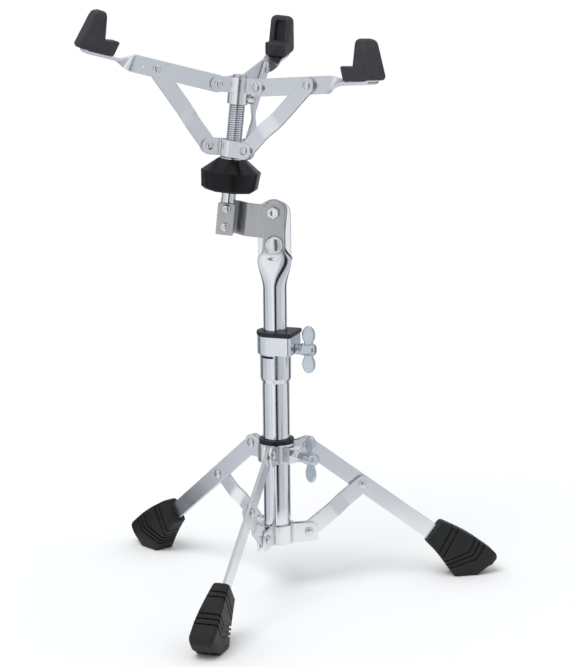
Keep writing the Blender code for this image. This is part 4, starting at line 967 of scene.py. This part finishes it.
def foot_body(inset):
    sole_end = FOOT_SOLE_START + (FOOT_END - FOOT_SOLE_START) * FOOT_TOE_SHARE
    first = FOOT_START + inset
    lip = FOOT_EDGE * FOOT_LIP
    rings = []
    for share in (0.0, 0.3, 1.0):
        low, high, half = foot_section(first, inset)
        edge = lip * (1 - share)
        rings.append(foot_ring(first + share * lip, low + edge, high - edge, half - edge))
    for i in range(1, 25):
        distance = first + lip + (sole_end - first - lip) * i / 24
        rings.append(foot_ring(distance, *foot_section(distance, inset)))
    return loft(rings + toe_rings(sole_end, inset))


def groove_band(path):
    """A narrow band along a path in the leg's plane, wide enough to cut right across the foot."""
    points = [Vector((FOOT_START + distance, height)) for distance, height in path]
    left, right = [], []
    for i, here in enumerate(points):
        before = (here - points[i - 1]).normalized() if i else (points[1] - here).normalized()
        after = (points[i + 1] - here).normalized() if i < len(points) - 1 else before
        normal = (before + after).normalized().orthogonal()
        side = normal * (GROOVE_W / 2 / max(normal.dot(before.orthogonal()), 0.5))
        left.append(tuple(here + side))
        right.append(tuple(here - side))
    return prism(left + right[::-1], -2 * FOOT_HALF_W_END, 2 * FOOT_HALF_W_END)


def build_foot(node, leg):
    """The grooves are cut right through and filled again by a body that is smaller by their depth."""
    foot = build(node, foot_body(0.0), cuts=[groove_band(path) for path in GROOVES])
    boolean(foot, foot_body(GROOVE_DEPTH), "UNION")
    boolean(foot, loft([strap_ring((x, 0, 0), LEG_W / 2 + GAP, half_thickness=STRIP_T / 2 + GAP)
                        for x in (FOOT_START - LEG_W, FOOT_START + LEG_W / 2)]))
    dress(foot, node, leg @ shift(0, LEG_OFFSET, 0), "foot_rubber")


def build_tripod():
    build_lower_bracket()
    build_leg_collar()
    ear = LEG_EAR_OFFSET + EAR_T / 2
    for number, (plane, leg, brace) in enumerate(zip(LEG_PLANES, LEGS, BRACES), 1):
        rings = strap_start(LEG_W, 0) + [strap_ring((x, 0, 0), LEG_W / 2) for x in (LINK, LEG_TIP)]
        show_strip(f"leg_{number}", loft(rings), leg @ shift(0, LEG_OFFSET, 0))
        build_foot(f"foot_{number}", leg)
        strap = link_strap(LEG_W, LINK, BRACE_FOOT_OFFSET, LEG_OFFSET - STRIP_PITCH, BRACE_JOGGLE)
        show_strip(f"brace_{number}", strap, brace)
        rivet(f"bracket_rivet_{number}", plane @ shift(FOLD_R, 0, BRACKET_Z),
              BRACE_FOOT_OFFSET - ear, BRACE_FOOT_OFFSET + ear, RIVET)
        rivet(f"collar_rivet_{number}", plane @ shift(FOLD_R, 0, COLLAR_Z),
              LEG_OFFSET - ear, LEG_OFFSET + ear, RIVET)
        rivet(f"brace_rivet_{number}", brace @ shift(LINK, 0, 0),
              LEG_OFFSET - STRIP_PITCH - STRIP_T / 2, LEG_OFFSET + STRIP_T / 2, RIVET)


# Height clamp
def d_outline(radius, face, steps):
    corner = CLAMP_CORNER
    return (arc((0, 0), radius, 90, 270, steps) + arc((face - corner, -radius + corner), corner, -90, 0, 8)
            + arc((face - corner, radius - corner), corner, 0, 90, 8))


def build_height_clamp():
    plan = d_outline(SOCKET_R + GAP + CLAMP_T / 2, CLAMP_FACE - CLAMP_T / 2, 40)
    path = [(x, y, CLAMP_Z - CLAMP_H / 2, CLAMP_Z + CLAMP_H / 2) for x, y in plan]
    band = loft(mitred(path, CLAMP_T, closed=True, edge=BLOCK_EDGE), closed=True)
    bolt_z = CLAMP_Z - CLAMP_BOLT_DROP
    hole = moved(cylinder(BOLT_R + GAP, 0, 2 * CLAMP_FACE, axis=ALONG_X), 0, 0, bolt_z)
    show("height_clamp", band, CLAMP, cuts=[hole], look="clamp_chrome")
    low = max(SOCKET_TOP, CLAMP_Z + CLAMP_H / 2) + GAP
    flange = d_outline(SOCKET_R + CLAMP_T + FLANGE_OVERHANG, CLAMP_FACE + FLANGE_OVERHANG, 48)
    edge = BUSHING_EDGE
    top = low + BUSHING_FLANGE_H
    stack = [(low, edge), (low + edge * 0.3, edge * 0.3), (low + edge, 0), (top - edge, 0),
             (top - edge * 0.3, edge * 0.3), (top, edge)]
    lid = loft([[(x, y, z) for x, y in inset_outline(flange, inset)] for z, inset in stack])
    sleeve = cylinder(SOCKET_R - SOCKET_WALL - GAP, low - BUSHING_DEPTH, low + BUSHING_FLANGE_H / 2, 72)
    bore = cylinder(UPPER_R + GAP, low - BUSHING_DEPTH - BASE_R, low + 2 * BUSHING_FLANGE_H, 72)
    show("height_bushing", lid, CLAMP, joins=[sleeve], cuts=[bore])
    start = CLAMP_FACE + GAP
    winged("height_wing_bolt", CLAMP @ shift(start, 0, bolt_z), shank=start - SOCKET_R - GAP)


# Upper tube, fork and tilter
def tube_section(half_w, front, back, height, power):
    """A ring with straighter sides than an ellipse where its power is under one."""
    points = []
    for x, y in circle(1.0, 96):
        depth = copysign(abs(y) ** power, y)
        points.append((copysign(abs(x) ** power, x) * half_w, (front if depth > 0 else back) * depth, height))
    return points


def fork_rings(inset, low):
    """The tube from its foot to the fork's mouth, where it has flattened to the ears' faces."""
    radius = UPPER_R - inset
    front = FORK_FRONT - (FORK_FRONT_T - WELD if inset else 0.0)
    back = FORK_BACK - (FORK_WALL_T - WELD if inset else 0.0)
    rings = [tube_section(radius, radius, radius, low, 1.0)]
    for share in shares(20):
        blend = eased(share)
        half_w = UPPER_R + (FORK_HALF_W - UPPER_R) * blend - inset
        height = FORK_FLARE_Z + (FORK_MOUTH_Z - FORK_FLARE_Z) * share
        rings.append(tube_section(half_w, radius * (1 - blend) + front * blend,
                                  radius * (1 - blend) + back * blend, height, 1.0 - MOUTH_SQUARE * blend))
    return rings


def round_top(half_w, low, high, corner):
    return ([(-half_w, low), (half_w, low)] + arc((half_w - corner, high - corner), corner, 0, 90, 16)
            + arc((corner - half_w, high - corner), corner, 90, 180, 16))


def ear_neck():
    """The rings above the mouth that draw its front in to the front ear's width."""
    rings = []
    for share in shares(14)[1:]:
        blend = eased(share)
        half_w = FORK_HALF_W + (STRAP_W / 2 - FORK_HALF_W) * blend
        rings.append(tube_section(half_w, FORK_FRONT, FORK_BACK, FORK_MOUTH_Z + NECK_H * share,
                                  1.0 - MOUTH_SQUARE - NECK_SQUARE * blend))
    return rings


def build_upper_tube():
    top = PIVOT_Z + FORK_TOP
    root = FORK_MOUTH_Z - STRAP_TAIL
    wide = FORK_HALF_W + BASE_R
    bore = fork_rings(UPPER_WALL, UPPER_FOOT_Z - BASE_R)
    bore = loft(bore + [[(x, y, top) for x, y, _ in bore[-1]]])
    mouth = rectangle(-wide, wide, FORK_MOUTH_Z + EAR_SEAM, top)
    slot = prism(mouth, -FORK_INNER - EAR_SEAM, FORK_INNER + EAR_SEAM)
    tube = build("upper_tube", loft(fork_rings(0.0, UPPER_FOOT_Z) + ear_neck()), cuts=[bore, slot])
    rear = round_top(FORK_HALF_W - WELD, root, top, FORK_CORNER)
    rear = plate(rear, WELD - FORK_BACK, -FORK_INNER, edge=TUBE_EDGE)
    strap = round_top(STRAP_W / 2, root + NECK_H, top, STRAP_W / 2 - WELD)
    strap = plate(strap, FORK_INNER, FORK_FRONT - 2 * EAR_SEAM, edge=EAR_EDGE, steps=4)
    boolean(tube, rear, "UNION")
    boolean(tube, strap, "UNION")
    half = DIMPLE_W / 2
    profile = [(DIMPLE_R * cos(radians(turn)), half * sin(radians(turn)))
               for turn in range(-80, 81, 10)]
    dimple = turned([(0, -half)] + profile + [(0, half)], 32, axis=ALONG_X)
    boolean(tube, moved(dimple, 0, FORK_FRONT + DIMPLE_R / 3, FORK_MOUTH_Z + DIMPLE_R / 2))
    dress(tube, "upper_tube", FORK, "tube_chrome")

    def on_strap(spot, normal):
        # The ear's rims keep the tube's bright chrome as a painted highlight along the strap's edges
        rim = spot.z > FORK_MOUTH_Z + NECK_H and abs(normal.y) < EAR_RIM
        return spot.z > FORK_FLARE_Z and spot.y > FORK_INNER - GAP and not rim

    paint(tube, "fork_strap", FORK, on_strap)
    guide = frame["nodes"]["tube_guide"].data.materials
    guide.clear()
    guide.append(MATERIALS["black_nylon"])


def hexagon(corner, low, high):
    flat = corner * HEX_CHAMFER
    sides = [(corner, low + HEX_EDGE), (corner, high - HEX_EDGE)]
    return turned([(0, low), (flat, low)] + sides + [(flat, high), (0, high)], 6, axis=ALONG_Y)


def build_fork_fasteners():
    front = FORK_FRONT + GAP
    back = -FORK_BACK - GAP
    corner = HEX_FLATS / 2 / cos(radians(30))
    nut_y = back - NUT_H
    tail = nut_y - GAP
    pivot = FORK @ shift(0, 0, PIVOT_Z)
    shank = cylinder(PIVOT_BOLT_R, tail, front + HEX_H / 2, axis=ALONG_Y)
    recess = turned([(radius, front + HEX_H * height) for radius, height in HEX_RECESS], 40, axis=ALONG_Y)
    show("tilter_pivot_bolt", hexagon(corner, front, front + HEX_H), pivot, joins=[shank], cuts=[recess],
         look="clamp_chrome")
    bore = cylinder(PIVOT_BOLT_R + GAP, tail - NUT_H, back + NUT_H, axis=ALONG_Y)
    show("tilter_pivot_nut", hexagon(corner, nut_y, back), pivot, cuts=[bore])
    end = back - BOSS_L / 2 + LOCK_BOLT_SPARE
    show("tilter_lock_bolt", turned(domed(BOLT_R, end, DOME_R, front, DOME_H, DOME_RIM), 64, axis=ALONG_Y),
         FORK @ shift(0, 0, SLOT_Z))
    place = FORK @ shift(0, -FORK_BACK - 2 * GAP, SLOT_Z) @ turn_about("Z", -90)
    winged("tilter_wing_nut", place @ turn_about("X", LOCK_WING_TURN), bore=BOLT_R + GAP)


def tilter_stations():
    """The tilter's flat part as (x, y, low, high): round over the pivot and along the slot's arc."""
    lobe_r = SLOT_R + BOLT_R + GAP + TILTER_LOBE_WALL
    nose = TILTER_NOSE_R
    start = -TILTER_NOSE_START * nose
    stations = []
    for i in range(25):
        x = start + (TILTER_LOBE_EDGE - start) * i / 24
        lower = -sqrt(lobe_r ** 2 - x ** 2)
        if i < 4:
            lower += TILTER_T * (1 - i / 4) ** 2
        stations.append((x, 0.0, lower, sqrt(nose ** 2 - x ** 2)))
    step = TILTER_LOBE_EDGE + GAP
    stations.append((step, 0.0, -TILTER_BOTTOM, sqrt(nose ** 2 - step ** 2)))
    shoulder = max(sqrt(max(nose ** 2 - TILTER_TOP ** 2, 0.0)), step + GAP)
    stations.append((shoulder, 0.0, -TILTER_BOTTOM, TILTER_TOP))
    return stations


def slot_outline():
    half = BOLT_R + GAP
    first = -90 - TILT - SLOT_HALF_ANGLE
    last = -90 - TILT + SLOT_HALF_ANGLE
    start = arc((0, 0), SLOT_R, first, first, 1)[0]
    end = arc((0, 0), SLOT_R, last, last, 1)[0]
    outline = arc((0, 0), SLOT_R + half, first, last, 16)
    outline += arc(end, half, last, last + 180, 16)[1:-1]
    outline += arc((0, 0), SLOT_R - half, last, first, 16)
    return outline + arc(start, half, first + 180, first + 360, 16)[1:-1]


def build_tilter():
    step = ROD_R + GAP + TILTER_T / 2
    bend = [(TILTER_BEND + x, y) for x, y in BEND_CORNER]
    bend += [(TILTER_BEND + step - x, -step - y) for x, y in reversed(BEND_CORNER)]
    bend.append((ROD_OFFSET + CLAMP_PLATE_W / 2, -step))
    path = tilter_stations() + [(x, y, -TILTER_BOTTOM, TILTER_TOP) for x, y in bend]
    slot = prism(slot_outline(), -TILTER_T, TILTER_T)
    show("tilter_plate", loft(mitred(path, TILTER_T)), TILTER, cuts=[slot])
    front = ROD_R + GAP
    half = CLAMP_PLATE_W / 2
    outline = rectangle(ROD_OFFSET - half, ROD_OFFSET + half, -CLAMP_PLATE_BOTTOM, CLAMP_PLATE_TOP)
    outline = round_corners(outline, CLAMP_PLATE_CORNER)
    show("rod_clamp_plate", plate(outline, front, front + CLAMP_PLATE_T, edge=STRIP_EDGE), TILTER)
    seat = front + CLAMP_PLATE_T + GAP
    tail = -(step + TILTER_T / 2) - SCREW_TAIL
    cross = rectangle(-CROSS_L / 2, CROSS_L / 2, -CROSS_W / 2, CROSS_W / 2)
    for number, rise in enumerate((SCREW_SPACING / 2, -SCREW_SPACING / 2), 1):
        crosses = []
        for turn in (45, 135):
            groove = prism(cross, seat + SCREW_HEAD_H * CROSS_FOOT, seat + SCREW_HEAD_H * 2)
            groove.transform(turn_about("Y", turn + CROSS_TURN * number))
            crosses.append(groove)
        profile = domed(SCREW_R, tail, SCREW_HEAD_R, seat, SCREW_HEAD_H, SCREW_RIM, SCREW_CURVE)
        show(f"rod_screw_{number}", turned(profile, 48, axis=ALONG_Y),
             TILTER @ shift(ROD_OFFSET, 0, SCREW_MIDDLE + rise), cuts=crosses)


def threaded_rod():
    """A plain foot and a true helical thread above it."""
    count = 48

    def level(radius, height):
        return [(x, y, height) for x, y in circle(radius, count)]

    root = THREAD_R - THREAD_DEPTH
    flank = THREAD_R - THREAD_CREST
    rings = [level(ROD_R - ROD_FOOT_EDGE, -ROD_FOOT), level(ROD_R, -ROD_FOOT + ROD_FOOT_EDGE),
             level(ROD_R, THREAD_FOOT)]
    start = THREAD_FOOT + ROD_CHAMFER * 0.2
    for turn in range(int((ROD_TOP - THREAD_FOOT - 2 * THREAD_PITCH) / THREAD_PITCH)):
        for share, radius in ((0.0, root), (0.30, flank), (0.42, THREAD_R), (0.58, THREAD_R), (0.70, flank)):
            rings.append([(x, y, start + THREAD_PITCH * (turn + share + k / count))
                          for k, (x, y) in enumerate(circle(radius, count))])
    return loft(rings + [level(root, ROD_TOP - ROD_CHAMFER), level(root - ROD_CHAMFER * 0.6, ROD_TOP)])


def build_rod_and_knob():
    # Faces deep in the thread's roots, which get darker metal as painted shade
    def in_thread_shade(spot, normal):
        return spot.z > THREAD_FOOT and hypot(spot.x, spot.y) < THREAD_R - THREAD_DEPTH * 0.30

    paint(show("basket_rod", threaded_rod(), ROD), "shaded_thread_root", ROD, in_thread_shade)
    profile = [(0, 0), (KNOB_R - 2 * KNOB_EDGE, 0), (KNOB_R - KNOB_EDGE * 0.6, KNOB_EDGE),
               (KNOB_R, KNOB_SHOULDER_H), (KNOB_TOP_R, KNOB_H), (0, KNOB_H)]
    knob = turned(profile, KNOB_SIDES, phase=radians(KNOB_TURN))
    bmesh.ops.bevel(knob, geom=[edge for edge in knob.edges if edge.calc_face_angle(0) > KNOB_CREASE],
                    offset=KNOB_BEVEL, segments=3, profile=0.5, affect="EDGES", clamp_overlap=True)
    bore = cylinder(THREAD_R + GAP, -KNOB_H, 2 * KNOB_H, 64)
    show("knob", knob, ROD @ shift(0, 0, KNOB_FOOT), cuts=[bore])
    low = KNOB_FOOT + KNOB_H + GAP
    show("slider_washer", ring_solid(THREAD_R + GAP, WASHER_R, low, low + WASHER_T), ROD)


# Basket
def build_hubs():
    inner = THREAD_R + GAP
    wrap_r = abs(STRUT_FOOT_OFFSET) + HUB_EAR_OFFSET + SLIDER_WRAP_SPARE
    outer = wrap_r - HUB_EAR_T / 2 + WELD
    foot = KNOB_FOOT + KNOB_H + WASHER_T + 2 * GAP - SLIDER_Z
    ear = (ARM_R, HUB_EAR_TIP, HUB_EAR_UP, SLIDER_EAR_DOWN, HUB_EAR_T)
    slider = spider(ring_solid(inner, outer, foot, HUB_EAR_UP - SLEEVE_LIP), ear, wrap_r, STRUT_FOOT_OFFSET,
                    HUB_EAR_OFFSET, 0.0, ARM_TURNS)
    show("slider", slider, ARM_PLANES[0] @ shift(0, 0, SLIDER_Z))
    sleeve = ring_solid(inner, HUB_COLLAR_R, ARM_Z - HUB_COLLAR_DROP, ARM_Z + HUB_EAR_UP - SLEEVE_LIP,
                        TUBE_EDGE)
    ear = (ARM_R, HUB_EAR_TIP, HUB_EAR_UP, HUB_EAR_DOWN, HUB_EAR_T)
    wrap_r = HUB_COLLAR_R + HUB_EAR_T / 2 - WELD
    hub = spider(sleeve, ear, wrap_r, ARM_OFFSET, HUB_EAR_OFFSET, ARM_Z, ARM_TURNS)
    show("top_hub", hub, ARM_PLANES[0])
    seat = HUB_COLLAR_R + GAP
    end = seat + SET_SCREW_L
    profile = [(0, inner), (BOLT_R, inner), (BOLT_R, seat), (SET_SCREW_R, seat), (SET_SCREW_R, end), (0, end)]
    recess = cylinder(SET_SCREW_HEX_R, seat + SET_SCREW_L * 0.5, seat + SET_SCREW_L * 2, 6, ALONG_X)
    show("hub_set_screw", turned(profile, 56, axis=ALONG_X, edge=BLOCK_EDGE),
         ROD @ shift(0, 0, SET_SCREW_Z) @ turn_about("Z", SET_SCREW_TURN), cuts=[recess])


def arm_rings():
    """A strap that twists flat, bends up at its end and stops as a tab inside the grip."""
    half = ARM_W / 2
    rings = strap_start(ARM_W, 0) + [strap_ring((TWIST_START - TWIST_LEAD, 0, 0), half)]
    for share in shares(28):
        turn = pi / 2 * ((1 - TWIST_EASE) * share + TWIST_EASE * eased(share))
        rings.append(strap_ring((TWIST_START + (TWIST_END - TWIST_START) * share, 0, 0), half,
                                (0, sin(turn), cos(turn)), (0, cos(turn), -sin(turn))))
    for turn in range(0, 91, 10):
        angle = radians(turn)
        spot = (ARM_BEND + ARM_BEND_R * sin(angle), 0, ARM_BEND_R * (1 - cos(angle)))
        rings.append(strap_ring(spot, half, (0, 1, 0), (sin(angle), 0, -cos(angle))))
    return rings + [strap_ring((ARM_BEND + ARM_BEND_R, 0, ARM_TAB), half, (0, 1, 0), (1, 0, 0))]


def grip_outline():
    """An L: a seat along the arm, and a wall parallel to the rod."""
    low = STRIP_T / 2 + GAP
    out, up = [Vector((way.x, way.z)) for way in GRIP_WAYS]
    corner = Vector((GRIP_WALL, low + GRIP_SEAT_H))
    tip = corner - out * GRIP_SEAT_L
    crown = corner + up * GRIP_WALL_H
    shoulder = crown + out * GRIP_CROWN_L
    edge = GRIP_EDGE
    upper = [shoulder - up * 2 * edge, shoulder - out * edge - up * edge / 2, crown + out * 2 * edge,
             crown + out * edge / 2 - up * edge / 2, crown - up * 2 * edge, corner, tip + out * edge / 2,
             tip - up * edge / 2]
    return [(tip.x + edge, low), (GRIP_BACK - edge, low), (GRIP_BACK, low + edge)] + [tuple(p) for p in upper]


def grip_tool(levels):
    """A shape with (y, z) outlines over the seat, at depths through the grip's wall."""
    out, up = GRIP_WAYS
    rings = []
    for depth, outline in levels:
        spots = [(y, GRIP_FOOT + out * depth + up * z) for y, z in outline]
        rings.append([(spot.x, y, spot.z) for y, spot in spots])
    return loft(rings)


def crown_corner(side):
    """What is cut from one upper corner of a grip, so that its wall ends in an arch."""
    radius = GRIP_CROWN_R
    middle = (GRIP_HALF_W - radius, GRIP_WALL_H - radius)
    outline = arc(middle, radius, -4, 94, 14) + [(middle[0] - CROWN_LAP, GRIP_WALL_H + radius),
                                                 (GRIP_HALF_W + radius, GRIP_WALL_H + radius),
                                                 (GRIP_HALF_W + radius, middle[1] - CROWN_LAP)]
    outline = [(side * y, z) for y, z in outline[::side]]
    return grip_tool([(-CROWN_REACH, outline), (GRIP_CROWN_L + 2 * CROWN_REACH, outline)])


def build_grip(number, arm):
    body = plate(round_corners(grip_outline(), GRIP_CORNER), -GRIP_HALF_W, GRIP_HALF_W,
                 edge=GRIP_FACE_EDGE, steps=4)
    middle = ARM_BEND + ARM_BEND_R
    half = STRIP_T / 2 + GAP
    side = ARM_W / 2 + GAP
    corner = ARM_BEND_R + STRIP_T
    pocket = [(middle - 2 * ARM_BEND_R, 0), (middle + half, 0), (middle + half, ARM_TAB + GAP),
              (middle - half, ARM_TAB + GAP), (middle - half, corner), (middle - 2 * ARM_BEND_R, corner)]
    floor = [(y * (1 - RECESS_TAPER / RECESS_HALF_W),
              z - RECESS_TAPER if z > GRIP_WALL_H / 2 else z + RECESS_TAPER) for y, z in RECESS]
    recess = grip_tool([(-RECESS_LEAD, RECESS), (0.0, RECESS), (RECESS_DEPTH, floor)])
    cuts = [prism(pocket, -side, side), recess, crown_corner(-1), crown_corner(1)]
    show(f"grip_{number}", body, arm @ shift(0, ARM_OFFSET, 0), cuts=cuts)


def build_basket():
    build_hubs()
    ear = HUB_EAR_OFFSET + HUB_EAR_T / 2
    for number, (plane, arm, strut) in enumerate(zip(ARM_PLANES, ARMS, STRUTS), 1):
        hole = cylinder(ARM_HOLE_R, -STRIP_T, STRIP_T, 24, ALONG_Y)
        hole = moved(hole, ARM_LINK + ARM_HOLE_X, 0, -ARM_HOLE_DROP)
        show(f"basket_arm_{number}", loft(arm_rings()), arm @ shift(0, ARM_OFFSET, 0), cuts=[hole])
        build_grip(number, arm)
        strap = link_strap(STRUT_W, STRUT_LINK, STRUT_FOOT_OFFSET, ARM_OFFSET - STRIP_PITCH, STRUT_JOGGLE)
        show_strip(f"strut_{number}", strap, strut @ shift(-STRUT_LINK, 0, 0))
        rivet(f"hub_rivet_{number}", plane @ shift(ARM_R, 0, ARM_Z), ARM_OFFSET - ear, ARM_OFFSET + ear,
              BASKET_RIVET)
        rivet(f"slider_rivet_{number}", plane @ shift(ARM_R, 0, SLIDER_Z),
              STRUT_FOOT_OFFSET - ear, STRUT_FOOT_OFFSET + ear, BASKET_RIVET)
        rivet(f"arm_rivet_{number}", arm @ shift(ARM_LINK, 0, 0),
              ARM_OFFSET - STRIP_PITCH - STRIP_T / 2, ARM_OFFSET + STRIP_T / 2, BASKET_RIVET)


# Studio: cards as (first azimuth, last azimuth, tone), folded at (reach, height)
CARD_FOLD = ((0.25, 0.0010), (3.0, 0.0010), (3.0, 3.2))
FLOOR_REACH = 6.0
SUN_WAY = (0.55, 0.75, -1.6)
CAMERA_TURNS = (0.924, 11.259, -0.6295)
CAMERA_SPOT = (-0.0195, -1.9139, 0.6276)
CAMERA_LENS = 113.14
CARDS = ((-12, -5, (0.55, 0.56, 0.59)), (-5, 11, (0.015, 0.015, 0.018)), (11, 20, (0.42, 0.43, 0.46)),
         (20, 64, (0.62, 0.65, 0.70)), (64, 106, (0.80, 0.82, 0.86)), (112, 138, (0.10, 0.11, 0.13)),
         (138, 180, (0.55, 0.58, 0.63)), (180, 222, (0.55, 0.58, 0.63)), (222, 248, (0.12, 0.13, 0.15)),
         (248, 290, (0.66, 0.69, 0.74)), (290, 325, (0.84, 0.86, 0.89)))


def empty_tree(owner):
    """The shader tree of a material or a world, with nothing in it."""
    owner.use_nodes = True
    owner.node_tree.nodes.clear()
    return owner.node_tree


def emitter(name, colour):
    surface = bpy.data.materials.new(name)
    tree = empty_tree(surface)
    light = add_node(tree, "Emission", {"Color": (*colour, 1), "Strength": 1.0})
    add_node(tree, "OutputMaterial", {"Surface": light.outputs["Emission"]})
    return surface


def card(name, start, end, shade):
    """A studio card that only shows in reflections: a wedge on the floor that turns up at its end.

    Its edges are azimuths seen from the stand; 0 is the camera's side and they grow to the right.
    """
    bm = bmesh.new()
    rows = []
    steps = 6
    for i in range(steps + 1):
        turn = radians(start + (end - start) * i / steps)
        way = Vector((sin(turn), -cos(turn), 0))
        rows.append([bm.verts.new(way * reach + Vector((0, 0, height))) for reach, height in CARD_FOLD])
    for first, second in zip(rows, rows[1:]):
        for near in (0, 1):
            bm.faces.new((first[near], first[near + 1], second[near + 1], second[near]))
    obj = mesh_object(name, bm)
    obj.data.materials.append(emitter(f"{name}_tone", shade))
    obj.visible_camera = False
    obj.visible_diffuse = False
    obj.visible_shadow = False


def build_world():
    """White where it is seen or mirrored, and a weaker fill for everything else."""
    world = bpy.data.worlds.new("studio")
    bpy.context.scene.world = world
    tree = empty_tree(world)
    rays = add_node(tree, "LightPath").outputs
    direct = add_node(tree, "Math", {0: rays["Is Camera Ray"], 1: rays["Is Glossy Ray"]})
    direct.operation = "MAXIMUM"
    white = add_node(tree, "Background", {"Color": (1, 1, 1, 1), "Strength": 1.0})
    fill = add_node(tree, "Background", {"Color": (0.96, 0.98, 1.0, 1), "Strength": 0.72})
    mix = add_node(tree, "MixShader", {"Fac": direct.outputs[0], 1: fill.outputs[0], 2: white.outputs[0]})
    add_node(tree, "OutputWorld", {"Surface": mix.outputs["Shader"]})


def build_floor():
    bm = bmesh.new()
    corners = rectangle(-FLOOR_REACH, FLOOR_REACH, -FLOOR_REACH, FLOOR_REACH)
    bm.faces.new([bm.verts.new((x, y, 0)) for x, y in corners])
    floor = mesh_object("floor", bm)
    surface, tree, shader = new_material("floor_paper", (0.97, 0.97, 0.97), 0.0, 0.9)
    feed(tree, shader, {"Specular IOR Level": 0.0})
    floor.data.materials.append(surface)


def sun():
    data = bpy.data.lights.new("key", "SUN")
    data.energy = 1.25
    data.angle = radians(35)
    obj = add_object("key", data)
    obj.rotation_euler = Vector(SUN_WAY).to_track_quat("-Z", "Y").to_euler()
    obj.visible_glossy = False


def build_camera():
    """The photograph's view, solved from the stand's pivots and tubes."""
    yaw, pitch, roll = [radians(turn) for turn in CAMERA_TURNS]
    forward = Vector((sin(yaw) * cos(pitch), cos(yaw) * cos(pitch), -sin(pitch)))
    right = forward.cross(Vector((0, 0, 1))).normalized()
    up = right.cross(forward)
    rolled_right = right * cos(roll) + up * sin(roll)
    rolled_up = up * cos(roll) - right * sin(roll)
    data = bpy.data.cameras.new("photo_camera")
    data.sensor_width = 36.0
    data.lens = CAMERA_LENS
    data.clip_start = 0.05
    camera = add_object("photo_camera", data)
    turn = Matrix((rolled_right, rolled_up, -forward)).transposed().to_4x4()
    camera.matrix_world = STAND @ shift(*CAMERA_SPOT) @ turn
    bpy.context.scene.camera = camera


def build_studio():
    build_world()
    build_floor()
    for number, (start, end, shade) in enumerate(CARDS, 1):
        card(f"card_{number}", start, end, shade)
    sun()
    bpy.context.scene.view_settings.view_transform = "Standard"
    build_camera()


build_base_tube()
build_tripod()
build_height_clamp()
build_upper_tube()
build_fork_fasteners()
build_tilter()
build_rod_and_knob()
build_basket()
build_studio()
